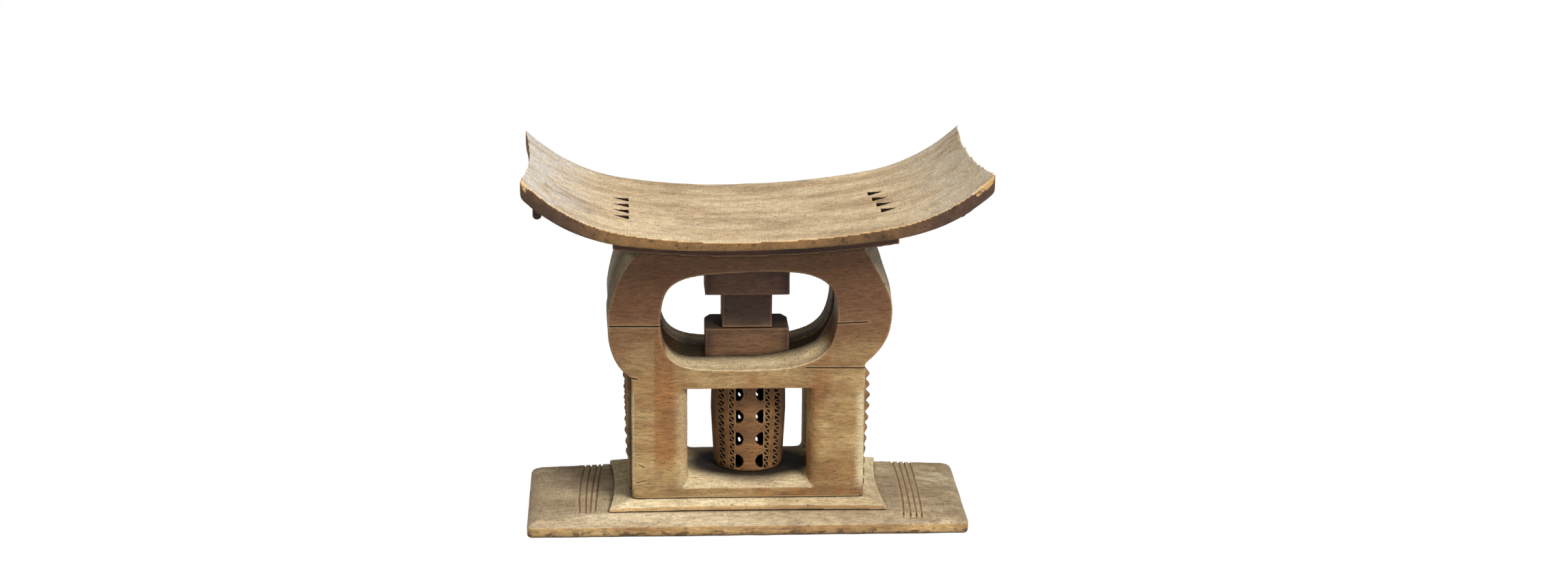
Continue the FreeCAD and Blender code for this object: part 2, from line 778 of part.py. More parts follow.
def lug(name, side):
    """A small rounded lug under the seat's end, its top cut to the seat's underside."""
    body = new_body(name)
    half = size("lug_width") / 2
    seat_end = (size("seat_front_width") + size("seat_back_width")) / 4 - size("seat_end_hollow")
    centre = (seat_end - size("lug_inset")) * side + size("seat_skew") / 2
    level = size("lug_level")
    above = size("seat_level") + size("seat_rise")
    section = new_sketch(body, name + "_section", "XZ_Plane")
    inner = centre - half
    outer = centre + half
    radius = size("lug_radius")
    outline(section, (inner, above), [
        ("line", (inner, level + radius)), ("arc", (centre, level), (outer, level + radius)),
        ("line", (outer, above)), ("line", (inner, above))])
    pad(body, name + "_blank", section, size("lug_depth"), midplane=True)
    make_room_for_seat(body, name + "_room")


def check_and_write():
    """Every feature must have been built, and every piece must be a valid solid."""
    doc.recompute()
    for thing in doc.Objects:
        if "Invalid" in thing.State or "Error" in thing.State:
            raise RuntimeError("%s could not be built: %s" % (thing.Label, thing.State))
    for node in nodes:
        if node.Shape.isNull() or not node.Shape.isValid() or not node.Shape.Solids:
            raise RuntimeError("%s is not a valid solid" % node.Label)
    os.makedirs("parts", exist_ok=True)
    for node in nodes:
        node.Shape.exportStep("parts/%s.step" % node.Label)
        box = node.Shape.BoundBox
        print("%-18s %2d solid(s) %9.0f mm3  x %.1f..%.1f  y %.1f..%.1f  z %.1f..%.1f" % (
            node.Label, len(node.Shape.Solids), node.Shape.Volume,
            box.XMin, box.XMax, box.YMin, box.YMax, box.ZMin, box.ZMax))


def build():
    fill_sheet()
    board_top = base_board()
    step_top = lower_step(board_top)
    foot_level, crown = upper_step(step_top)
    for side, side_name in ((-1, "left"), (1, "right")):
        for front, front_name in ((1, "front"), (-1, "back")):
            leg("%s_%s_leg" % (front_name, side_name), foot_level, side, front)
            studs("%s_%s_studs" % (front_name, side_name), foot_level, side, front)
    loop("front_loop", 1)
    loop("back_loop", -1)
    drum(crown)
    column_block()
    column_neck()
    column_head()
    seat_bearer()
    seat()
    lug("left_seat_lug", -1)
    lug("right_seat_lug", 1)
    check_and_write()


build()
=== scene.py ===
# %% [markdown]
# # A carved Asante stool, step by step
# The stool is one block of pale close-grained wood: a curved seat on two open loops
# with straight legs, a pierced drum between them, and a long low base.
# Nothing on it moves, so every step below is carving, wear and colour.
# The solids of the stool come in ready made. They give each part its true size and place.
# We copy them, wear their edges down, cut the ornament, and give them a wood finish.

# %% Load the solids and keep their box
import bpy
import math
import random
from mathutils import Matrix, Vector


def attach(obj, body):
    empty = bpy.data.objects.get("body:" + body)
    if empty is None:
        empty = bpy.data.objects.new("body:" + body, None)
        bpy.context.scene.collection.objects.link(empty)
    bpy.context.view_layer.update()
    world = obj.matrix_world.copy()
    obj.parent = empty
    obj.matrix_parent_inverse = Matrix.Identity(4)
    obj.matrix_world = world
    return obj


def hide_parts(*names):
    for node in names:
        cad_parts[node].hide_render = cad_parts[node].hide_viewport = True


MM = 0.001
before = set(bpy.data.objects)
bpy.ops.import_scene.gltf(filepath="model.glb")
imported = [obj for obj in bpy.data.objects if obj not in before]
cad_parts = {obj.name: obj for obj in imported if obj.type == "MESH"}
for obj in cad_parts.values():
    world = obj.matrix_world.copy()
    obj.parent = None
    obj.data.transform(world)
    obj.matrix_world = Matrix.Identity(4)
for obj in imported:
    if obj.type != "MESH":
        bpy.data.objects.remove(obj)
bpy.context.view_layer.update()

# %% [markdown]
# ## The camera
# The photograph looks down on the stool a little, from about three metres away,
# with a long lens. We could aim a camera with a Track To constraint, but then its small
# lean is lost. A matrix of three directions holds the turn, the tilt and the lean at once.

# %% Place the camera
VIEW_TURN, VIEW_DOWN, VIEW_LEAN = 0.05846, 0.28637, 0.00921
VIEW_PLACE = Vector((-0.14684, -3.30170, 1.25578))
PHOTO_WIDTH, FOCAL_PIXELS = 2293, 4108.0


def view_matrix(turn, down, lean, place):
    level = math.cos(down)
    ahead = Vector((math.sin(turn) * level, math.cos(turn) * level, -math.sin(down)))
    right = Vector((math.cos(turn), -math.sin(turn), 0))
    above = right.cross(ahead)
    leaned_right = right * math.cos(lean) + above * math.sin(lean)
    leaned_above = above * math.cos(lean) - right * math.sin(lean)
    turned = Matrix((leaned_right, leaned_above, -ahead)).transposed()
    return Matrix.Translation(place) @ turned.to_4x4()


bpy.ops.object.select_all(action="DESELECT")
bpy.ops.object.camera_add()
camera = bpy.context.object
camera.name = "photo_view"
camera.matrix_world = view_matrix(VIEW_TURN, VIEW_DOWN, VIEW_LEAN, VIEW_PLACE)
camera.data.sensor_fit = "HORIZONTAL"
camera.data.sensor_width = 36
camera.data.lens = 36 * FOCAL_PIXELS / PHOTO_WIDTH
camera.data.clip_end = 60
bpy.context.scene.camera = camera
print("lens in millimetres:", round(camera.data.lens, 2))

# %% [markdown]
# ## A node helper
# Every finish is built from nodes, so a short way to add one saves many lines.
# The helper adds a node, sets its properties and its inputs, and gives it back.
# An input that is an output of another node is linked, and anything else is a plain value.

# %% Add a node and its links
def add_node(tree, kind, inputs=(), **settings):
    node = tree.nodes.new(kind)
    for key, value in settings.items():
        setattr(node, key, value)
    for socket, value in dict(inputs).items():
        if isinstance(value, bpy.types.NodeSocket):
            tree.links.new(value, node.inputs[socket])
        else:
            node.inputs[socket].default_value = value
    return node


def empty_material(name):
    material = bpy.data.materials.new(name)
    material.use_nodes = True
    material.node_tree.nodes.clear()
    return material, material.node_tree


# %% [markdown]
# ## The floor and the light
# The photograph was taken on a white sweep in even studio light. A white floor under our
# lamps would come out pale grey, and brighter lamps would bleach the wood. So the
# floor's own white is topped up only where the camera looks straight at it,
# and the stool's shadow still falls on it.

# %% Lay the floor
PAPER_WHITE, FLOOR_GLOW, GLOW_SHARE = 0.80, 1.05, 0.93


def floor_material():
    material, tree = empty_material("white_sweep")
    paper = add_node(tree, "ShaderNodeBsdfDiffuse",
                     {"Color": (PAPER_WHITE, PAPER_WHITE, PAPER_WHITE, 1)})
    glow = add_node(tree, "ShaderNodeEmission", {"Color": (1, 1, 1, 1), "Strength": FLOOR_GLOW})
    path = add_node(tree, "ShaderNodeLightPath")
    share = add_node(tree, "ShaderNodeMath", {0: path.outputs["Is Camera Ray"], 1: GLOW_SHARE},
                     operation="MULTIPLY")
    both = add_node(tree, "ShaderNodeMixShader",
                    {0: share.outputs[0], 1: paper.outputs[0], 2: glow.outputs[0]})
    add_node(tree, "ShaderNodeOutputMaterial", {"Surface": both.outputs[0]})
    return material


bpy.ops.object.select_all(action="DESELECT")
bpy.ops.mesh.primitive_circle_add(vertices=96, radius=14, fill_type="NGON", location=(0, 0, 0))
floor = bpy.context.object
floor.name = "floor"
floor.data.materials.append(floor_material())
print("floor across in metres:", round(floor.dimensions.x, 1))

# %% [markdown]
# One large soft box stands high on the right, with a weak one overhead and a weaker one on
# the left. A sun lamp would give hard shadows, which the photograph doesn't have.
# The sky is dim for the stool, so that hollows stay dark, and white for the camera.

# %% Light the studio
LAMP_AIM = Vector((0, 0, 0.2))
SKY_LIGHT = 0.17


def soft_lamp(name, place, wide, tall, watts):
    bpy.ops.object.light_add(type="AREA", location=place)
    lamp = bpy.context.object
    lamp.name = name
    lamp.data.shape = "RECTANGLE"
    lamp.data.size, lamp.data.size_y = wide, tall
    lamp.data.energy = watts
    lamp.rotation_euler = (LAMP_AIM - Vector(place)).to_track_quat("-Z", "Y").to_euler()
    return lamp


soft_lamp("key_box", (2.4, -3.3, 3.8), 1.8, 1.8, 290)
soft_lamp("overhead_box", (-0.2, -0.3, 2.8), 2.0, 1.4, 22)
soft_lamp("left_fill", (-2.6, -2.2, 1.2), 1.4, 1.4, 4)
world = bpy.data.worlds.new("studio")
bpy.context.scene.world = world
world.use_nodes = True
sky = world.node_tree
sky.nodes.clear()
sky_path = add_node(sky, "ShaderNodeLightPath")
sky_level = add_node(sky, "ShaderNodeMapRange",
                     {"Value": sky_path.outputs["Is Camera Ray"],
                      "To Min": SKY_LIGHT, "To Max": 1.0})
sky_light = add_node(sky, "ShaderNodeBackground",
                     {"Color": (1, 1, 1, 1), "Strength": sky_level.outputs["Result"]})
add_node(sky, "ShaderNodeOutputWorld", {"Surface": sky_light.outputs[0]})
bpy.context.scene.view_settings.view_transform = "Standard"

# %% [markdown]
# ## The wood
# The wood is pale and close grained, and its grain runs along the stool. Hands, oil and dust
# have changed it: brown patina under the seat, grey-gold on the base and on the seat,
# pale gold where corners are rubbed, and dirt in the inner corners. Under the seat and in
# the inner corners painted shade is mixed in, and some leg corners carry painted highlights.
# A picture of wood would stretch over a carved shape. Noise read from the
# place in the block doesn't, because the stool really was cut from one block:
# squeeze the noise along X and it becomes fibre that runs through every part.

# %% Make colours from the numbers of a colour picker
def linear(colour):
    parts = [c / 255 for c in colour]
    bent = [p / 12.92 if p <= 0.04045 else ((p + 0.055) / 1.055) ** 2.4 for p in parts]
    return (bent[0], bent[1], bent[2], 1)


# %% [markdown]
# Four small tools do most of the mixing. Blend lays one colour over another, spread turns
# a range of values into a soft step, maths combines two or three values, and axis reads
# one direction of a place. A Color Ramp could do what spread does, but its stops would have
# to be set by hand in every finish.

# %% Small tools for values and colours
MIX_SHARE, MIX_FIRST, MIX_SECOND, MIX_RESULT = 0, 6, 7, 2


def blend(tree, share, first, second, mode="MIX"):
    node = add_node(tree, "ShaderNodeMix", data_type="RGBA", blend_type=mode, clamp_factor=True)
    for socket, value in ((MIX_SHARE, share), (MIX_FIRST, first), (MIX_SECOND, second)):
        if isinstance(value, bpy.types.NodeSocket):
            tree.links.new(value, node.inputs[socket])
        else:
            node.inputs[socket].default_value = value
    return node.outputs[MIX_RESULT]


def spread(tree, value, low, high, to_low=0.0, to_high=1.0):
    """A soft step: to_low up to low, to_high from high on."""
    node = add_node(tree, "ShaderNodeMapRange",
                    {"Value": value, "From Min": low, "From Max": high,
                     "To Min": to_low, "To Max": to_high})
    node.interpolation_type = "SMOOTHSTEP"
    return node.outputs["Result"]


def maths(tree, operation, *values):
    return add_node(tree, "ShaderNodeMath", enumerate(values), operation=operation).outputs[0]


def times(tree, first, second):
    return maths(tree, "MULTIPLY", first, second)


def axis(tree, place, letter):
    return add_node(tree, "ShaderNodeSeparateXYZ", {0: place}).outputs[letter]


def face_normal(tree):
    return add_node(tree, "ShaderNodeNewGeometry").outputs["Normal"]


def sideways(tree):
    """One where a face looks straight left or right, nought where it looks ahead or up."""
    return maths(tree, "ABSOLUTE", axis(tree, face_normal(tree), "X"))


# %% [markdown]
# Each layer of the wood is one noise. Wide soft bands follow the grain, fine fibre lies
# in them, and short dark dashes are the open pores. Slower noise without any stretch
# gives the stains. The place is bent a little first, so that no line is ruler straight.

# %% Lay out the grain
BEND_BY = (0.0, 0.012, 0.020)


def grain_place(tree):
    place = add_node(tree, "ShaderNodeTexCoord").outputs["Object"]
    bend = add_node(tree, "ShaderNodeTexNoise", {"Vector": place, "Scale": 5.0, "Detail": 2.0})
    centred = add_node(tree, "ShaderNodeVectorMath",
                       {0: bend.outputs["Color"], 1: (0.5, 0.5, 0.5)}, operation="SUBTRACT")
    small = add_node(tree, "ShaderNodeVectorMath", {0: centred.outputs[0], 1: BEND_BY},
                     operation="MULTIPLY")
    bent = add_node(tree, "ShaderNodeVectorMath", {0: place, 1: small.outputs[0]},
                    operation="ADD")
    return place, bent.outputs[0]


def streaks(tree, place, stretch, detail=3.0, rough=0.55):
    scaled = add_node(tree, "ShaderNodeMapping", {"Vector": place, "Scale": stretch})
    noise = add_node(tree, "ShaderNodeTexNoise",
                     {"Vector": scaled.outputs[0], "Scale": 1.0,
                      "Detail": detail, "Roughness": rough})
    return noise.outputs["Fac"]


# %% [markdown]
# Wear and dirt need to know where the edges are. The Bevel node gives the normal that
# a rounded edge would have, and where it differs from the true one there is a corner.
# Ambient Occlusion finds the opposite, the inner corners, darkened partly for dust and oil and
# partly as painted shade.

# %% Find rubbed edges and corners darkened by dust and painted shade
def rubbed_edges(tree, radius):
    rounded = add_node(tree, "ShaderNodeBevel", {"Radius": radius}, samples=6)
    same = add_node(tree, "ShaderNodeVectorMath", {0: rounded.outputs[0], 1: face_normal(tree)},
                    operation="DOT_PRODUCT")
    return spread(tree, same.outputs["Value"], 0.99, 0.90)


def dirty_corners(tree, reach):
    shade = add_node(tree, "ShaderNodeAmbientOcclusion", {"Distance": reach}, samples=6)
    return spread(tree, shade.outputs["AO"], 0.80, 0.30)


def facing_up(tree):
    return spread(tree, axis(tree, face_normal(tree), "Z"), 0.30, 0.62)


# %% [markdown]
# Some places are darker than others: the loops under the seat, with patina and painted shade;
# the floor round the drum, with a painted shadow; the ends of the seat. A painted mask would
# need an image, so each mask is worked out from the place itself, and a slow noise makes its border
# wander.

# %% Spread a tint by place
WANDER = 0.06
OVAL = 1.5


def by_height(tree, place, clouds, low, high, most):
    wander = maths(tree, "MULTIPLY_ADD", clouds, WANDER, axis(tree, place, "Z"))
    return spread(tree, wander, low + WANDER / 2, high + WANDER / 2, 0.0, most)


def round_a_line(tree, place, across, back, near, far, most):
    flat = add_node(tree, "ShaderNodeMapping",
                    {"Vector": place, "Location": (-across, -OVAL * back, 0),
                     "Scale": (1, OVAL, 0)})
    distance = add_node(tree, "ShaderNodeVectorMath", {0: flat.outputs[0]}, operation="LENGTH")
    return spread(tree, distance.outputs["Value"], near, far, most, 0.0)


def far_from_middle(tree, place, near, far, most):
    return spread(tree, maths(tree, "ABSOLUTE", axis(tree, place, "X")), near, far, 0.0, most)


# %% [markdown]
# A crack is cut as a shape further on, and painted shade also darkens the wood along it.
# The dark line is a soft step on the distance from a straight line, kept to the front
# of the stool and to the crack's own length.

# %% Follow a crack
def along_crack(tree, place, start_x, start_z, end_x, end_z, half):
    """One inside a thin line on the front of the frame, in metres, and nought elsewhere."""
    parts = add_node(tree, "ShaderNodeSeparateXYZ", {0: place})
    slope = (end_z - start_z) / (end_x - start_x)
    on_line = maths(tree, "MULTIPLY_ADD", parts.outputs["X"], -slope, parts.outputs["Z"])
    away = maths(tree, "ABSOLUTE", maths(tree, "SUBTRACT", on_line, start_z - slope * start_x))
    begins = spread(tree, parts.outputs["X"], start_x - 0.002, start_x + 0.002)
    ends = spread(tree, parts.outputs["X"], end_x - 0.006, end_x + 0.002, 1.0, 0.0)
    front = spread(tree, parts.outputs["Y"], -0.062, -0.052, 1.0, 0.0)
    inside = times(tree, spread(tree, away, half * 0.5, half * 1.6, 1.0, 0.0), front)
    return times(tree, inside, times(tree, begins, ends))


# %% [markdown]
# The outer corner of each leg carries a pale stripe, a painted highlight where the rounded corner
# meets the light, and the inner rounding of the left leg a fainter one. The Bevel node would find
# every corner alike, so these few are named by their place. The outer sides of the loops look
# grey, and so they have a mask of their own too.

# %% Find the leg corners and the loops' outer sides
def leg_corners(tree, place, clouds):
    """One on the leg corners that carry a painted highlight, below the knees."""
    x, z = axis(tree, place, "X"), axis(tree, place, "Z")
    outer = maths(tree, "MAXIMUM", spread(tree, x, -0.1375, -0.1395),
                  spread(tree, x, 0.128, 0.137))
    inner = times(tree, spread(tree, x, -0.092, -0.080), spread(tree, x, -0.073, -0.071, 0.38, 0.0))
    below = times(tree, spread(tree, z, 0.164, 0.184, 1.0, 0.0), spread(tree, z, 0.044, 0.064))
    corners = times(tree, maths(tree, "MAXIMUM", outer, inner), below)
    return times(tree, corners, spread(tree, clouds, 0.25, 0.55, 0.45, 0.95))


def outer_flanks(tree, place):
    """One on the sides of the loops that look left or right, far from the middle."""
    outside = far_from_middle(tree, place, 0.108, 0.122, 1.0)
    above = spread(tree, axis(tree, place, "Z"), 0.22, 0.26)
    return times(tree, times(tree, spread(tree, sideways(tree), 0.35, 0.65), outside), above)


# %% [markdown]
# One recipe makes every finish on the stool. Pale and brown are the bands of the wood,
# and faces that look up have a set of their own: partly wood bleached by light and dust,
# partly painted light, paler than the sides and undersides; on the column the tops are darker, as
# painted shade.
# The patina covers what is above a given height, and under the seat it is partly painted shade;
# near a given upright line the step gets a painted shadow. The other settings are marks that only
# some pieces have, and a piece that doesn't name one goes without.
# Roughness follows only the slow clouds that also lay the stains.

# %% Marks that only some pieces have
def blushed(tree, place, bent, colour, zone, blush):
    """A reddish upright band between two places, as (start, share, end), and loose patches."""
    if zone is not None:
        across = axis(tree, bent, "X")
        share = times(tree, spread(tree, across, zone[0], zone[0] + 0.004, 0.0, zone[1]),
                      spread(tree, across, zone[2], zone[2] + 0.012, 1.0, 0.0))
        share = times(tree, share, spread(tree, axis(tree, place, "Z"), 0.055, 0.095))
        colour = blend(tree, share, colour, linear(blush))
    patches = streaks(tree, place, (20, 17, 8), 2.0)
    return blend(tree, spread(tree, patches, 0.52, 0.66, 0.0, 0.55), colour, linear(blush))


def bleached_ends(tree, place, colour, ends):
    """Near, far and most of the bleaching, then its colours on the left and on the right."""
    side = spread(tree, axis(tree, place, "X"), -0.1, 0.1)
    pale = blend(tree, side, linear(ends[3]), linear(ends[4]))
    blots = spread(tree, streaks(tree, place, (26, 60, 26), 3.0, 0.6), 0.44, 0.66, 1.0, 0.10)
    share = times(tree, far_from_middle(tree, place, *ends[:3]), facing_up(tree))
    return blend(tree, times(tree, share, blots), colour, pale)


def dark_core(tree, place, colour, core, soil):
    """Painted shade on what lies between the two loops, as strong as the share asked for."""
    depth = maths(tree, "ABSOLUTE", axis(tree, place, "Y"))
    high = spread(tree, axis(tree, place, "Z"), 0.12, 0.22)
    share = times(tree, spread(tree, depth, 0.034, 0.056, core, 0.0), high)
    return blend(tree, share, colour, linear(soil))


def scuffed_foot(tree, place, colour, scuffs):
    low = spread(tree, axis(tree, place, "Z"), 0.003, 0.015, 0.75, 0.0)
    flecks = streaks(tree, place, (70, 160, 160), 2.0, 0.6)
    return blend(tree, times(tree, low, spread(tree, flecks, 0.50, 0.60)), colour, linear(scuffs))


def worn_rim(tree, place, colour, rim):
    """An attribute of the mesh says where the rim is."""
    worn = add_node(tree, "ShaderNodeAttribute", attribute_name="rim").outputs["Fac"]
    chipped = spread(tree, streaks(tree, place, (50, 140, 140), 2.0), 0.36, 0.52, 0.30, 1.0)
    share = times(tree, spread(tree, worn, 0.25, 0.95, 0.0, 0.65), chipped)
    return blend(tree, share, colour, linear(rim))


# %% The wood recipe
CRACK_DIRT = (26, 18, 14)


# The soil colour darkens the real pores and pits, and is also painted shade in the corners, between
# the loops and round the drum.
def stool_wood(name, pale, brown, patina, rubbed, soil=(36, 26, 20), tops=None, rise=None,
               line=None, ends=None, zone=None, blush=None, core=None, corner_tint=None,
               scuffs=None, flanks=None, darker=None, end_faces=None, rim=None, curved=False,
               cracks=(), stain=0.5, rub=0.0045, wear=0.9, dirt=0.85):
    material, tree = empty_material(name)
    place, bent = grain_place(tree)
    bands = streaks(tree, bent, (6, 40, 6 if curved else 40), 2.0)
    fibre = streaks(tree, bent, (80, 400, 80 if curved else 400), 3.0, 0.68)
    cross = streaks(tree, bent, (620, 70, 620), 1.0)
    pores = streaks(tree, bent, (110, 950, 110 if curved else 950), 1.0)
    pits = streaks(tree, place, (170, 260, 260), 1.0)
    clouds = streaks(tree, place, (9, 13, 13), 3.0)
    band = spread(tree, bands, 0.36, 0.66)
    colour = blend(tree, band, linear(pale), linear(brown))
    if blush is not None:
        colour = blushed(tree, place, bent, colour, zone, blush)
    # Patina above a given height; under the seat it is partly painted shade.
    if rise is not None:
        colour = blend(tree, by_height(tree, place, clouds, *rise), colour, linear(patina))
    colour = blend(tree, spread(tree, clouds, 0.46, 0.68, 0.0, stain), colour, linear(patina))
    if darker is not None:
        colour = blend(tree, far_from_middle(tree, place, *darker[:3]), colour, linear(darker[3]))
    if end_faces is not None:
        colour = blend(tree, spread(tree, sideways(tree), 0.68, 0.85), colour, linear(end_faces))
    # Faces that look up get their own colours: partly bleached and dusty wood, partly painted light
    # and shade.
    if tops is not None:
        top = blend(tree, band, linear(tops[0]), linear(tops[1]))
        top = blend(tree, spread(tree, clouds, 0.46, 0.70, 0.0, stain), top, linear(tops[2]))
        colour = blend(tree, facing_up(tree), colour, top)
    if ends is not None:
        colour = bleached_ends(tree, place, colour, ends)
    # Pale stripes on the leg corners: a painted highlight.
    if corner_tint is not None:
        colour = blend(tree, leg_corners(tree, place, clouds), colour, linear(corner_tint))
    # Painted shade between the two loops.
    if core is not None:
        colour = dark_core(tree, place, colour, core, soil)
    if flanks is not None:
        share = times(tree, outer_flanks(tree, place), spread(tree, clouds, 0.3, 0.6, 0.85, 0.4))
        colour = blend(tree, share, colour, linear(flanks))
    # A painted shadow round the drum, low on the step.
    if line is not None:
        low = spread(tree, axis(tree, place, "Z"), 0.064, 0.070, 1.0, 0.0)
        share = times(tree, round_a_line(tree, place, *line), low)
        colour = blend(tree, share, colour, linear(soil))
    woven = maths(tree, "MULTIPLY_ADD", cross, 0.45, fibre)
    tone = spread(tree, woven, 0.50, 0.96, 0.70, 1.22)
    tint = add_node(tree, "ShaderNodeCombineColor", {0: tone, 1: tone, 2: tone}).outputs[0]
    colour = blend(tree, 1.0, colour, tint, "MULTIPLY")
    colour = blend(tree, spread(tree, pores, 0.62, 0.72, 0.0, 0.55), colour, linear(soil))
    colour = blend(tree, spread(tree, pits, 0.71, 0.76, 0.0, 0.75), colour, linear(soil))
    if scuffs is not None:
        colour = scuffed_foot(tree, place, colour, scuffs)
    if rim is not None:
        colour = worn_rim(tree, place, colour, rim)
    edge = times(tree, rubbed_edges(tree, rub), spread(tree, clouds, 0.25, 0.6, 0.35, wear))
    colour = blend(tree, edge, colour, linear(rubbed))
    # Inner corners darken: partly dust, partly painted shade.
    corner = times(tree, dirty_corners(tree, 0.016), dirt)
    colour = blend(tree, corner, colour, linear(soil))
    # Painted shade along each crack.
    for crack in cracks:
        share = times(tree, along_crack(tree, place, *crack), 0.95)
        colour = blend(tree, share, colour, linear(CRACK_DIRT))
    gloss = spread(tree, clouds, 0.3, 0.7, 0.50, 0.66)
    marks = streaks(tree, place, (40, 70, 70), 2.0)
    relief = maths(tree, "MULTIPLY_ADD", woven, 0.4, marks)
    carved = add_node(tree, "ShaderNodeBump", {"Strength": 0.4, "Distance": 0.0016,
                                               "Height": relief})
    shader = add_node(tree, "ShaderNodeBsdfPrincipled",
                      {"Base Color": colour, "Roughness": gloss, "Normal": carved.outputs[0],
                       "Specular IOR Level": 0.3})
    add_node(tree, "ShaderNodeOutputMaterial", {"Surface": shader.outputs[0]})
    return material


# %% [markdown]
# The colours were matched under these lamps, piece by piece. Each finish gives the
# pale wood, the brown wood, the patina and the rubbed edge, in that order.

# %% Mix the finishes
# The third colour, the patina, also serves as painted shade where it rises under the seat and on
# the column.
CRACKS = (
    (-0.168, 0.2593, -0.103, 0.2588, 0.0010), (0.092, 0.2604, 0.146, 0.2626, 0.0009),
    (0.069, 0.2052, 0.148, 0.2042, 0.0008), (-0.146, 0.1944, -0.133, 0.1922, 0.0010),
)
DRUM_GRIME = (0.006, -0.006, 0.064, 0.100, 0.985)
FINISHES = {}


def finish(name, *colours, **marks):
    FINISHES[name] = stool_wood(name, *colours, **marks)


# The darkest finish is painted shade inside the slots, cracks, chip pits and the drum's hollow.
finish("deep_cut", (50, 36, 28), (38, 28, 22), (28, 21, 17), (96, 70, 48), wear=0.3)
# The seat's front face and underside are a darker brown than its top, partly painted shade.
finish("seat_wood", (132, 98, 58), (108, 78, 46), (76, 54, 36), (216, 166, 102),
       tops=((222, 198, 160), (196, 168, 130), (148, 120, 90)),
       ends=(0.150, 0.265, 0.85, (217, 212, 203), (210, 196, 171)),
       darker=(0.140, 0.235, 0.9, (74, 53, 41)), end_faces=(140, 102, 66),
       rim=(230, 182, 118), curved=True, stain=0.6, rub=0.0013)
# The bearer and the lugs are dark brown, partly painted shade under the seat.
finish("bearer_wood", (86, 56, 39), (62, 41, 30), (46, 33, 26), (196, 148, 94), rub=0.0035)
finish("lug_wood", (86, 56, 39), (62, 41, 30), (46, 33, 26), (118, 82, 56), rub=0.002)
# On the frames the patina rising under the seat is partly real and partly painted shade, the paler
# tops are partly painted light, the darkening between the loops is painted shade, the pale leg
# corners are painted highlights, the dark patch round the drum is a painted shadow on the step, and
# the dark crack lines are painted shade.
finish("frame_wood", (184, 154, 104), (154, 119, 73), (104, 69, 44), (216, 180, 130),
       tops=((222, 200, 158), (198, 172, 130), (160, 134, 98)),
       rise=(0.150, 0.290, 0.95), zone=(-0.116, 0.75, -0.095), blush=(156, 103, 54),
       flanks=(176, 160, 130), corner_tint=(208, 190, 150), core=0.8, line=DRUM_GRIME,
       cracks=CRACKS, soil=(28, 22, 19))
finish("stud_wood", (150, 116, 78), (116, 84, 55), (82, 58, 40), (200, 164, 118), rub=0.0025)
finish("drum_wood", (142, 101, 59), (114, 79, 47), (74, 51, 37), (200, 160, 108),
       rub=0.002, dirt=0.8)
# On the column, the darker tops, the darker ends of each block and the patina that darkens the neck
# are painted shade under the seat and the loops. The head has its own copy of this wood, made
# darker as painted shade.
finish("column_wood", (134, 99, 67), (98, 71, 49), (62, 44, 35), (158, 118, 80),
       tops=((92, 70, 52), (74, 56, 43), (54, 41, 33)),
       rise=(0.225, 0.265, 0.9), darker=(0.038, 0.050, 0.65, (50, 36, 29)))
finish("head_wood", (104, 74, 55), (80, 55, 41), (54, 38, 31), (140, 104, 72),
       darker=(0.036, 0.050, 0.65, (44, 32, 27)))
finish("base_wood", (208, 172, 116), (170, 130, 82), (122, 90, 60), (228, 196, 146),
       tops=((218, 198, 162), (190, 167, 130), (138, 115, 88)),
       ends=(0.150, 0.215, 0.75, (176, 152, 120), (150, 128, 98)),
       scuffs=(64, 44, 28), stain=0.6)
finish("step_wood", (214, 178, 126), (184, 146, 100), (140, 108, 76), (236, 200, 146),
       tops=((234, 214, 172), (214, 190, 146), (166, 141, 104)))
finish("groove_wood", (150, 124, 94), (128, 103, 77), (100, 79, 59), (190, 160, 120))
print("finishes:", sorted(FINISHES))

# %% [markdown]
# ## From sharp solids to carved wood
# The solids have knife-sharp edges, which no old stool has. A Bevel gives even, machined
# corners. Here each part is copied, remeshed into small even cells, smoothed a little so that
# corners melt, and pressed in by a soft noise that leaves the marks of an adze.
# Then the cells that flat places don't need are taken out again.

# %% Copy a solid
MERGE_WITHIN, FLAT_WITHIN = 0.02 * MM, math.radians(0.3)


def only(piece):
    bpy.ops.object.select_all(action="DESELECT")
    piece.select_set(True)
    bpy.context.view_layer.objects.active = piece


def copy_of(source, name):
    copy = bpy.data.objects.new(name, source.data.copy())
    bpy.context.collection.objects.link(copy)
    return copy


def copy_solid(node, name):
    piece = copy_of(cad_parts[node], name)
    piece.data.materials.clear()
    only(piece)
    bpy.ops.object.mode_set(mode="EDIT")
    bpy.ops.mesh.select_all(action="SELECT")
    bpy.ops.mesh.remove_doubles(threshold=MERGE_WITHIN)
    bpy.ops.mesh.dissolve_limited(angle_limit=FLAT_WITHIN)
    bpy.ops.object.mode_set(mode="OBJECT")
    return piece


# %% [markdown]
# Neighbouring parts of one block have no gap between them. Worn corners would open one, so
# a face that lies on a neighbour is first moved a little way into it. Faces and corners are
# picked by a test on their place, as a box selection would do by hand.

# %% Pick parts of a mesh and move them
def pick_nothing(piece, kind):
    only(piece)
    bpy.ops.object.mode_set(mode="EDIT")
    bpy.ops.mesh.select_mode(type=kind)
    bpy.ops.mesh.select_all(action="DESELECT")
    bpy.ops.object.mode_set(mode="OBJECT")


def pick_faces(piece, test):
    pick_nothing(piece, "FACE")
    picked = 0
    for face in piece.data.polygons:
        face.select = test(face)
        picked += face.select
    bpy.ops.object.mode_set(mode="EDIT")
    return picked


def sink_faces(piece, height, move):
    picked = pick_faces(piece, lambda f: abs(f.center.z - height) < 0.4 * MM
                        and abs(f.normal.z) > 0.99)
    if picked:
        bpy.ops.transform.translate(value=(0, 0, move))
    bpy.ops.object.mode_set(mode="OBJECT")
    print(piece.name, "faces moved at", round(height, 4), "is", picked)


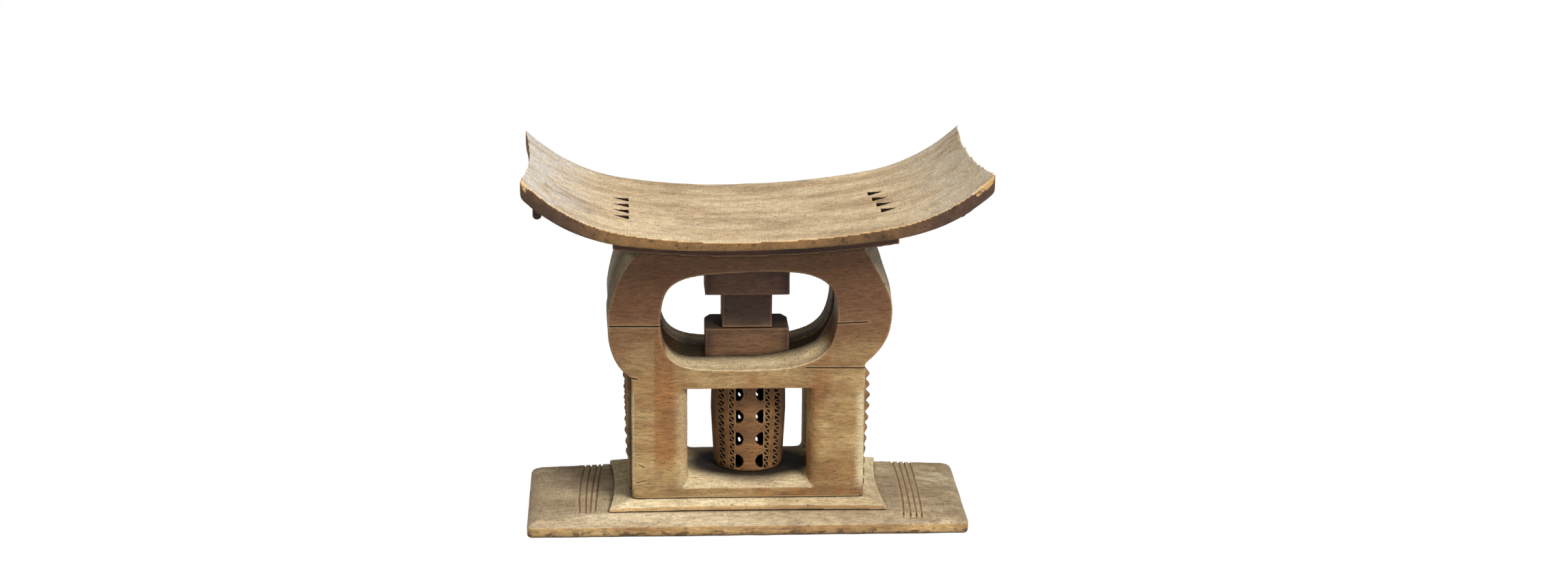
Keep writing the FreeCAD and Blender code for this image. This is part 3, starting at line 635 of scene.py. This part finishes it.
def smooth_where(piece, test, passes):
    pick_nothing(piece, "VERT")
    for corner in piece.data.vertices:
        corner.select = test(corner)
    bpy.ops.object.mode_set(mode="EDIT")
    bpy.ops.mesh.vertices_smooth(factor=0.6, repeat=passes)
    bpy.ops.object.mode_set(mode="OBJECT")


# %% [markdown]
# The wear itself is a short stack of modifiers that is applied at once, because the next
# step cuts into its result. A voxel Remesh also melts overlapping shapes into one skin.

# %% Join, cut and wear
ADZE = bpy.data.textures.new("adze_marks", type="CLOUDS")
ADZE.noise_scale = 0.030
ADZE.noise_depth = 1


def apply_modifier(piece, kind, **settings):
    only(piece)
    bpy.ops.object.modifier_add(type=kind)
    modifier = piece.modifiers[-1]
    for key, value in settings.items():
        setattr(modifier, key, value)
    bpy.ops.object.modifier_apply(modifier=modifier.name)


def combine(piece, other, operation):
    apply_modifier(piece, "BOOLEAN", object=other, operation=operation, solver="EXACT",
                   material_mode="TRANSFER")
    bpy.data.objects.remove(other, do_unlink=True)


def join_all(pieces):
    bpy.ops.object.select_all(action="DESELECT")
    for piece in pieces:
        piece.select_set(True)
    bpy.context.view_layer.objects.active = pieces[0]
    bpy.ops.object.join()
    bpy.ops.object.mode_set(mode="EDIT")
    bpy.ops.mesh.select_all(action="SELECT")
    bpy.ops.mesh.normals_make_consistent(inside=False)
    bpy.ops.object.mode_set(mode="OBJECT")
    return bpy.context.object


def wear_down(piece, wood, cell, passes, depth, keep, soften=None):
    """Cells of this size, so many smoothings, adze marks this deep, and a limit of faces."""
    apply_modifier(piece, "REMESH", mode="VOXEL", voxel_size=cell)
    apply_modifier(piece, "SMOOTH", factor=0.5, iterations=passes)
    if soften is not None:
        soften(piece)
    apply_modifier(piece, "DISPLACE", texture=ADZE, texture_coords="LOCAL", strength=depth,
                   mid_level=1.0)
    cells = len(piece.data.polygons) * 2
    if cells > keep:
        apply_modifier(piece, "DECIMATE", ratio=keep / cells)
    only(piece)
    bpy.ops.object.shade_smooth()
    piece.data.materials.clear()
    piece.data.materials.append(FINISHES[wood])
    print(piece.name, "faces:", len(piece.data.polygons))


def shade_by_angle(piece, degrees):
    only(piece)
    bpy.ops.object.shade_smooth_by_angle(angle=math.radians(degrees))


def settle(piece, slot, *nodes):
    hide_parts(*nodes)
    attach(piece, "root")


# %% [markdown]
# ## The base
# The base is a long low board that thins towards its ends. Four shallow curved grooves
# cross it at each end. A groove is an arc, so a small round profile is spun about the
# arc's centre, and the swept tool is taken out of the board.

# %% Find the arc through three places
def arc_centre(first, second, third):
    ax, ay, bx, by, cx, cy = *first, *second, *third
    d = 2 * (ax * (by - cy) + bx * (cy - ay) + cx * (ay - by))
    aa, bb, cc = ax * ax + ay * ay, bx * bx + by * by, cx * cx + cy * cy
    return Vector(((aa * (by - cy) + bb * (cy - ay) + cc * (ay - by)) / d,
                   (aa * (cx - bx) + bb * (ax - cx) + cc * (bx - ax)) / d, 0))


def height_on(node, x, y):
    hit, place, _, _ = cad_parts[node].ray_cast(Vector((x, y, 1)), Vector((0, 0, -1)))
    return place.z if hit else 0.0


# %% [markdown]
# The board slopes, so a level cut would be deep in one place and miss the wood in another.
# Every corner of the swept tool is dropped onto the board by a ray from above. Near both
# ends the tool is lifted out of the wood again, as a gouge is.

# %% Spin one gouge cut
GOUGE_RADIUS, GOUGE_LIFT, GOUGE_FADE = 1.5 * MM, 0.1 * MM, 16 * MM


def gouge_cut(back_x, middle_x, front_x, back_y, front_y):
    back, front = Vector((back_x, back_y, 0)) * MM, Vector((front_x, front_y, 0)) * MM
    middle = Vector((middle_x, (back_y + front_y) / 2, 0)) * MM
    centre = arc_centre(back.xy, middle.xy, front.xy)
    turn = (back - centre).xy.angle_signed((front - centre).xy)
    bpy.ops.object.select_all(action="DESELECT")
    bpy.ops.mesh.primitive_circle_add(vertices=10, radius=GOUGE_RADIUS, fill_type="NGON",
                                      location=back, rotation=(math.pi / 2, 0, 0))
    cut = bpy.context.object
    bpy.ops.object.transform_apply(location=True, rotation=True, scale=True)
    bpy.ops.object.mode_set(mode="EDIT")
    bpy.ops.mesh.select_all(action="SELECT")
    bpy.ops.mesh.spin(steps=16, angle=turn, center=centre, axis=(0, 0, 1), use_auto_merge=False)
    bpy.ops.mesh.select_all(action="SELECT")
    bpy.ops.mesh.remove_doubles(threshold=0.01 * MM)
    bpy.ops.mesh.normals_make_consistent(inside=False)
    bpy.ops.object.mode_set(mode="OBJECT")
    for corner in cut.data.vertices:
        to_end = min(back.y - corner.co.y, corner.co.y - front.y)
        fade = min(max(1 - to_end / GOUGE_FADE, 0), 1) ** 2
        ground = height_on("base_board", corner.co.x, corner.co.y)
        corner.co.z += ground + GOUGE_LIFT + fade * GOUGE_RADIUS
    cut.data.materials.append(FINISHES["groove_wood"])
    return cut


# %% [markdown]
# The grooves aren't evenly spaced, and no two bend alike. The list gives where the far end,
# the middle and the near end of each lie across the stool, then how far back and
# forward it runs, in millimetres.

# %% Carve the base board
GROOVES = (
    (-200.0, -206.5, -205.0, 97, -87), (-192.8, -198.0, -198.0, 97, -87),
    (-184.4, -190.7, -192.7, 97, -87), (-179.0, -184.0, -187.0, 97, -87),
    (192.5, 194.3, 189.6, 97, -99), (200.5, 201.3, 198.4, 97, -99),
    (207.6, 208.3, 205.8, 97, -99), (215.0, 215.4, 212.2, 97, -99),
)
board = copy_solid("base_board", "grooved_base")
wear_down(board, "base_wood", 1.8 * MM, 2, 0.7 * MM, 170000)
for groove in GROOVES:
    combine(board, gouge_cut(*groove), "DIFFERENCE")
shade_by_angle(board, 40)
settle(board, "base", "base_board")

# %% [markdown]
# ## The two steps
# Two low steps lift the legs off the base. Their tops are hollowed to meet the next part,
# and their front edges are rubbed pale. The frames further on bring a copy of the upper step
# with them, so the step itself is pressed in a hair all round and lies just under it.

# %% Carve the steps
UPPER_STEP_SHRINK = 0.2 * MM
lower = copy_solid("lower_step", "lower_plinth")
wear_down(lower, "step_wood", 1.4 * MM, 2, 0.5 * MM, 150000)
settle(lower, "base", "lower_step")
upper = copy_solid("upper_step", "upper_plinth")
wear_down(upper, "frame_wood", 1.5 * MM, 2, 0.7 * MM, 150000)
apply_modifier(upper, "DISPLACE", strength=UPPER_STEP_SHRINK, mid_level=2.0)
settle(upper, "base", "upper_step")

# %% [markdown]
# ## The two frames
# Front and back, a pair of square legs carries an open loop, and no line shows where one
# ends and the other starts. The legs also run down into the upper step without a line. So each
# frame is made with its legs and its own half of the step joined by Booleans before it is
# worn, and every corner between them melts too. The two halves overlap by 12 mm in the middle,
# so no line shows there.

# %% Take half of the step and melt the inner corners of the feet
HALF_STEP_EDGE = -6 * MM


def half_step(sign):
    half = copy_solid("upper_step", "half_step")
    bpy.ops.object.mode_set(mode="EDIT")
    bpy.ops.mesh.select_all(action="SELECT")
    bpy.ops.mesh.bisect(plane_co=(0, sign * HALF_STEP_EDGE, 0), plane_no=(0, sign, 0),
                        use_fill=True, clear_inner=True)
    bpy.ops.object.mode_set(mode="OBJECT")
    return half


def at_inner_foot(corner):
    place = corner.co / MM
    return 50 < place.z < 68 and 58 < abs(place.x) < 96 and abs(place.y) < 72


def soften_feet(piece):
    smooth_where(piece, at_inner_foot, 25)


# %% [markdown]
# The floor of the front eye isn't level. It climbs towards its far edge, most on the right,
# and so it hides the foot of the block behind it. The place in the eye is measured as on
# an oval: one on its wall, less inside it. What lies far from the wall stays where it is.

# %% Slope the floor of the front eye
EYE_HIGH_UP, EYE_HALF_WIDE, EYE_HALF_HIGH = 266.0, 100.0, 59.0
FRONT_Y, FAR_EDGE_Y = -66, -36


def ease(value, low, high):
    part = min(max((value - low) / (high - low), 0), 1)
    return part * part * (3 - 2 * part)


def bump(value, middle, wide):
    return math.exp(-((value - middle) / wide) ** 2)


def slope_eye(piece):
    for corner in piece.data.vertices:
        x, y, z = corner.co / MM
        across, up = x / EYE_HALF_WIDE, (z - EYE_HIGH_UP) / EYE_HALF_HIGH
        near = 1 - ease(math.hypot(across, up), 1.05, 1.48)
        turn = math.degrees(math.atan2(up, across))
        climb = 12 * bump(turn, -45, 38) + 5 * bump(turn, -110, 25)
        inward = Vector((-across / EYE_HALF_WIDE, 0, -up / EYE_HALF_HIGH)).normalized()
        corner.co += inward * climb * near * ease(y, FRONT_Y, FAR_EDGE_Y) * MM


def soften_front(piece):
    slope_eye(piece)
    soften_feet(piece)


# %% [markdown]
# The legs reach 3 mm into the crossbar above and the step below, so that the union has
# something to hold.

# %% Carve the frames
FLOOR_OF_LEGS, CROSSBAR = 52.0 * MM, 178.6 * MM
SINK = 3 * MM


def carve_frame(side, sign, soften):
    whole = copy_solid(side + "_loop", side + "_frame")
    combine(whole, half_step(sign), "UNION")
    for hand in ("left", "right"):
        leg = copy_solid(side + "_" + hand + "_leg", hand + "_leg_copy")
        sink_faces(leg, CROSSBAR, SINK)
        sink_faces(leg, FLOOR_OF_LEGS, -SINK)
        combine(whole, leg, "UNION")
    wear_down(whole, "frame_wood", 1.6 * MM, 2, 0.7 * MM, 180000, soften)
    return whole


front_frame = carve_frame("front", -1, soften_front)
back_frame = carve_frame("back", 1, soften_feet)

# %% [markdown]
# Drying has opened a few cracks along the grain, and old knife nicks are left by the feet.
# A crack is a thin blade of a shape: a cube is flattened, divided along its
# length and shaken a little, so that the cut through the wood wavers as a real one does.

# %% Make a blade
def blade(start_x, start_z, end_x, end_z, wide, front_y, deep, seed):
    start, end = Vector((start_x, 0, start_z)) * MM, Vector((end_x, 0, end_z)) * MM
    length = (end - start).length
    middle = (start + end) / 2
    middle.y = front_y * MM
    lean = math.atan2(end.z - start.z, end.x - start.x)
    bpy.ops.object.select_all(action="DESELECT")
    bpy.ops.mesh.primitive_cube_add(size=1, location=middle, rotation=(0, -lean, 0),
                                    scale=(length, 2 * deep * MM, wide * MM))
    cut = bpy.context.object
    bpy.ops.object.transform_apply(location=True, rotation=True, scale=True)
    pick_nothing(cut, "EDGE")
    for edge in cut.data.edges:
        first, second = (cut.data.vertices[i].co for i in edge.vertices)
        edge.select = (second - first).length > length * 0.9
    bpy.ops.object.mode_set(mode="EDIT")
    bpy.ops.mesh.subdivide(number_cuts=9)
    bpy.ops.mesh.select_all(action="SELECT")
    bpy.ops.transform.vertex_random(offset=0.3 * wide * MM, seed=seed)
    bpy.ops.object.mode_set(mode="OBJECT")
    cut.data.materials.append(FINISHES["deep_cut"])
    return cut


# %% [markdown]
# Only the front shows cracks in the photograph, so the back has none. The first four are
# cracks and the last two are nicks, which are much less deep.

# %% Split the wood
BLADES = (
    (-168, 259.3, -103, 258.8, 0.9, -73.5, 12, 1),
    (92, 260.4, 146, 262.6, 0.8, -73.5, 12, 2),
    (69, 205.2, 148, 204.2, 0.9, -73.5, 9, 3),
    (-146, 194.4, -133, 192.2, 1.2, -73.5, 5, 4),
    (-133, 82.8, -125.5, 78.8, 1.0, -73.5, 1.4, 5),
    (-137, 59.2, -124.0, 62.3, 1.0, -73.5, 1.4, 6),
)
cuts = [blade(*numbers) for numbers in BLADES]
for cut in cuts:
    combine(front_frame, cut, "DIFFERENCE")
print("cracks and nicks:", len(cuts))
for side, frame_piece in (("front", front_frame), ("back", back_frame)):
    shade_by_angle(frame_piece, 50)
    settle(frame_piece, "frame", side + "_loop", side + "_left_leg", side + "_right_leg")

# %% [markdown]
# ## The studs
# A row of small blunt pyramids runs up the outer side of every leg. They were cut out of
# the leg with a knife, notch by notch, so no two are alike and they get lower towards the foot.
# One stud is modelled: a cube with its outer face drawn out and made small.

# %% Model one stud
bpy.ops.object.select_all(action="DESELECT")
bpy.ops.mesh.primitive_cube_add(size=1)
stud = bpy.context.object
pick_faces(stud, lambda f: f.normal.x > 0.9)
bpy.ops.mesh.extrude_region_move(TRANSFORM_OT_translate={"value": (1, 0, 0)})
bpy.ops.transform.resize(value=(1, 0.2, 0.2))
bpy.ops.object.mode_set(mode="OBJECT")
print("faces of one stud:", len(stud.data.polygons))

# %% [markdown]
# Every copy gets its own height, read from the photograph from the foot up, and its tip is
# shaken a little. An Array would make them all the same. The cube has three layers of
# corners: one sunk into the leg, one where the valley is, and the tip.

# %% Fit a copy of the stud
LEG_SIDE, LEG_MIDDLE = 142.1 * MM, 52.6 * MM
STUD_FOOT, STUD_PITCH, STUD_WIDE = 44.0 * MM, 14.05 * MM, 12.4 * MM
STUD_HEIGHTS = {"left": (5.3, 5.8, 5.6, 7.0, 7.5, 8.5, 8.5, 8.5, 9.0, 9.2, 10.0),
                "right": (2.5, 2.7, 3.1, 3.7, 4.4, 5.2, 6.3, 7.3, 7.7, 6.9, 6.7)}
STUD_ROOT = {"left": 0.55, "right": 0.15}
OVERLAP = 1.01


def fit_stud(hand, step, middle_y, shaken):
    copy = copy_of(stud, "stud_copy")
    high = STUD_HEIGHTS[hand][step] * MM
    reaches = (-SINK, high * STUD_ROOT[hand], high)
    outward = -1 if hand == "left" else 1
    slip_y, slip_z = shaken.uniform(-1, 1) * MM, shaken.uniform(-1, 1) * MM
    middle_z = STUD_FOOT + STUD_PITCH * (step + 0.5)
    for corner in copy.data.vertices:
        layer = round(corner.co.x + 0.5)
        shake = 1 if layer == 2 else 0
        corner.co = Vector((outward * (LEG_SIDE + reaches[layer]),
                            middle_y + corner.co.y * STUD_WIDE + slip_y * shake,
                            middle_z + corner.co.z * STUD_PITCH * OVERLAP + slip_z * shake))
    return copy


# %% [markdown]
# Each row has its own seed. The Remesh of the wear step melts its studs into one piece.

# %% Carve the four rows
for side, middle_y in (("front", -LEG_MIDDLE), ("back", LEG_MIDDLE)):
    for hand in ("left", "right"):
        shaken = random.Random(side + hand)
        studs = [fit_stud(hand, step, middle_y, shaken) for step in range(len(STUD_HEIGHTS[hand]))]
        row = join_all(studs)
        row.name = side + "_" + hand + "_stud_row"
        wear_down(row, "stud_wood", 0.7 * MM, 1, 0.4 * MM, 60000)
        settle(row, "frame", side + "_" + hand + "_studs")
bpy.data.objects.remove(stud, do_unlink=True)

# %% [markdown]
# ## The seat
# The seat is a broad curved board, thin in the middle and thick at its raised ends.
# Four small slots pierce it on the left and four on the right. Each is pointed at one end,
# as a knife leaves it, so the cutter is a prism with three sides.

# %% Cut one slot
SLOT_LONG, SLOT_WIDE, SLOT_HIGH_UP = 19 * MM, 17 * MM, 396 * MM


def slot(blunt_x, row_y, toward):
    radius = SLOT_LONG / 1.5
    middle = (blunt_x * MM + toward * SLOT_LONG / 3, row_y * MM, SLOT_HIGH_UP)
    bpy.ops.object.select_all(action="DESELECT")
    bpy.ops.mesh.primitive_cylinder_add(vertices=3, radius=radius, depth=50 * MM, location=middle)
    cut = bpy.context.object
    cut.rotation_euler.z = -toward * math.pi / 2
    cut.scale = (SLOT_WIDE / (radius * math.sqrt(3)), 1, 1)
    bpy.ops.object.transform_apply(location=True, rotation=True, scale=True)
    cut.data.materials.append(FINISHES["deep_cut"])
    return cut


# %% [markdown]
# Hands have rubbed the front corners and the lower rim round, and the upper rim to bright
# wood. A Bevel would treat all edges alike, so corners are picked by place and smoothed. The
# upper rim goes into an attribute of the mesh, which the finish reads: a corner is on
# the rim when a ray from above, a hair further out, misses the solid.

# %% Round the rim and mark it
FRONT_CORNER_X, FRONT_CORNER_Y = 262 * MM, -128 * MM
FROM_ABOVE = Vector((0, 0, -1))


def soften_rim(piece):
    smooth_where(piece, lambda v: abs(v.co.y) > 128 * MM and v.normal.z < 0.3, 10)
    smooth_where(piece, lambda v: abs(v.co.x) > 258 * MM and v.co.y < -126 * MM, 12)


def mark_rim(piece, node, thin, broad):
    """Write one on the rim, and more broadly on the two front corners."""
    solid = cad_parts[node]
    rim = piece.data.attributes.new("rim", "FLOAT", "POINT")
    marked = 0
    for corner, value in zip(piece.data.vertices, rim.data):
        x, y, _ = corner.co
        at_corner = abs(x) > FRONT_CORNER_X and y < FRONT_CORNER_Y
        far_inside = abs(x) < 245 * MM and abs(y) < 132 * MM
        if far_inside or corner.normal.z < (0.05 if at_corner else 0.25):
            continue
        reach = broad if at_corner else thin
        steps = ((reach, 0), (-reach, 0), (0, reach), (0, -reach))
        hits = [solid.ray_cast(Vector((x + dx, y + dy, 1)), FROM_ABOVE)[0] for dx, dy in steps]
        if not all(hits):
            value.value = 1.0
            marked += 1
    print(piece.name, "corners on the rim:", marked)


# %% [markdown]
# The slots go in after the wear, because the knife left their edges sharp. The row on
# the right slants, and the row on the left doesn't. Under the seat a thin slab
# carries it, and a short round-ended lug hangs below each end.

# %% Carve the seat, the slab and the lugs
SLOT_ROWS, SLOT_FAR_Y, SLOT_STEP_Y = 4, 28, -28
seat = copy_solid("seat", "curved_seat")
wear_down(seat, "seat_wood", 1.9 * MM, 1, 0.5 * MM, 190000, soften_rim)
for row in range(SLOT_ROWS):
    row_y = SLOT_FAR_Y + SLOT_STEP_Y * row
    combine(seat, slot(-143.5, row_y, -1), "DIFFERENCE")
    combine(seat, slot(150 + 3 * row, row_y, 1), "DIFFERENCE")
shade_by_angle(seat, 50)
mark_rim(seat, "seat", 0.9 * MM, 5 * MM)
settle(seat, "seat", "seat")
bearer = copy_solid("seat_bearer", "bearer")
wear_down(bearer, "bearer_wood", 1.6 * MM, 1, 0.4 * MM, 90000)
settle(bearer, "seat", "seat_bearer")
for hand in ("left", "right"):
    lug = copy_solid(hand + "_seat_lug", hand + "_lug")
    wear_down(lug, "lug_wood", 0.9 * MM, 2, 0.5 * MM, 20000)
    settle(lug, "seat", hand + "_seat_lug")

# %% [markdown]
# ## The column
# Three squared blocks stand on the drum: a wide one, a narrow neck and a head.
# The knife that shaped them left their corners quite sharp.

# %% Carve the column
BLOCKS = (("column_block", "wide_block", "column_wood"), ("column_neck", "neck", "column_wood"),
          ("column_head", "head", "head_wood"))
for node, name, wood in BLOCKS:
    block = copy_solid(node, name)
    wear_down(block, wood, 1.2 * MM, 2, 0.7 * MM, 60000)
    settle(block, "column", node)

# %% [markdown]
# ## The drum
# The drum is hollow. Two columns of half-round openings pierce it front and back, and
# beside each column run two bands of chip carving. Every chip is a small three-cornered pit,
# cut in pairs that leave a thin slanting ridge. One pit is modelled once as a
# cone of three sides, and each copy is fitted onto its own three points of the drum.

# %% Find points on the drum
DRUM_AXIS = Vector((3.0 * MM, 0, 0))
DRUM_RADIUS = 45 * MM


def axis_at(height):
    return Vector((DRUM_AXIS.x, 0, height))


def on_drum(turn, height, lift):
    outward = Vector((math.sin(turn), -math.cos(turn), 0))
    hit, place, _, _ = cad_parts["drum"].ray_cast(axis_at(height) + outward * 0.2, -outward)
    radius = (place - axis_at(height)).length if hit else DRUM_RADIUS
    return axis_at(height) + outward * (radius + lift)


# %% [markdown]
# One matrix takes the three corners of the plain pit to three points of the drum, and its
# depth towards the axis, so each pit leans with the barrel. Turned by hand, the pits
# would hardly meet in such a thin ridge.

# %% Model one pit and copy it
PIT_LIFT, PIT_DEPTH = 0.4 * MM, 3.6 * MM
CHIP_SLIP, CHIP_RISE = 0.05, 0.06
bpy.ops.object.select_all(action="DESELECT")
bpy.ops.mesh.primitive_cone_add(vertices=3, radius1=1, radius2=0.22, depth=1,
                                location=(0, 0, 0.5))
pit = bpy.context.object
bpy.ops.object.transform_apply(location=True, rotation=True, scale=True)
pit_rim = [v.co.copy() for v in pit.data.vertices if abs(v.co.z) < 1e-4]


def pit_at(first, second, third, inward):
    across, up = pit_rim[1] - pit_rim[0], pit_rim[2] - pit_rim[0]
    plain = Matrix((across, up, Vector((0, 0, 1)))).transposed()
    wanted = Matrix((second - first, third - first, inward * PIT_DEPTH)).transposed()
    turned = (wanted @ plain.inverted()).to_4x4()
    copy = copy_of(pit, "pit_copy")
    copy.data.transform(Matrix.Translation(first - turned @ pit_rim[0]) @ turned)
    return copy


def chip_pair(near, far, low, high):
    a, b = on_drum(near, low, PIT_LIFT), on_drum(far, low, PIT_LIFT)
    c, d = on_drum(near, high, PIT_LIFT), on_drum(far, high, PIT_LIFT)
    middle = (a + d) / 2
    inward = (axis_at(middle.z) - middle).normalized()
    slip, rise = (d - a) * CHIP_SLIP, (c - a) * CHIP_RISE
    return [pit_at(a, b - slip, c - rise, inward), pit_at(d, c + slip, b + rise, inward)]


# %% [markdown]
# The wall of the drum is thick, and little light comes through it. Its inner faces are
# drawn together about the axis, and they get the darkest finish, painted shade as in the cuts.

# %% Thicken the wall of the drum
INSIDE_RADIUS, INSIDE_SHARE = 36 * MM, 0.76
DARK_RADIUS, DARK_LOW, DARK_HIGH = 41 * MM, 63 * MM, 176 * MM


def on_inner_wall(face):
    out = face.center.xy - DRUM_AXIS.xy
    faces_in = out.dot(face.normal.xy) < -0.9 * 30 * MM
    return 66 * MM < face.center.z < 172 * MM and out.length < INSIDE_RADIUS and faces_in


drum = copy_solid("drum", "pierced_drum")
wear_down(drum, "drum_wood", 1.0 * MM, 2, 0.5 * MM, 120000)
print("faces of the inner wall:", pick_faces(drum, on_inner_wall))
bpy.ops.transform.resize(value=(INSIDE_SHARE, INSIDE_SHARE, 1), center_override=DRUM_AXIS)
bpy.ops.object.mode_set(mode="OBJECT")
drum.data.materials.append(FINISHES["deep_cut"])
for face in drum.data.polygons:
    in_wall = (face.center.xy - DRUM_AXIS.xy).length < DARK_RADIUS
    if in_wall and DARK_LOW < face.center.z < DARK_HIGH:
        face.material_index = 1

# %% [markdown]
# The bands are given in degrees from the middle of the front, and their mirror images and
# the back follow. All pits are cut in one Boolean, which is much quicker than one for each.

# %% Carve the chips
BANDS = ((24.5, 33.5), (42.0, 56.5))
CHIP_ROWS, CHIP_FLOOR, CHIP_PITCH, CHIP_HIGH = 13, 64.0 * MM, 8.75 * MM, 7.4 * MM
CHIP_SHAKE = 0.4
chips = []
shaken = random.Random(7)
for facing in (0.0, math.pi):
    for near, far in BANDS:
        for hand in (-1, 1):
            turns = sorted((hand * math.radians(near), hand * math.radians(far)))
            start, end = (turn + facing for turn in turns)
            for row in range(CHIP_ROWS):
                shake = shaken.uniform(-CHIP_SHAKE, CHIP_SHAKE) * MM
                low = CHIP_FLOOR + row * CHIP_PITCH + shake
                chips += chip_pair(start, end, low, low + CHIP_HIGH)
print("pits in the drum:", len(chips))
all_chips = join_all(chips)
all_chips.data.materials.append(FINISHES["deep_cut"])
combine(drum, all_chips, "DIFFERENCE")
bpy.data.objects.remove(pit, do_unlink=True)
shade_by_angle(drum, 40)
settle(drum, "column", "drum")
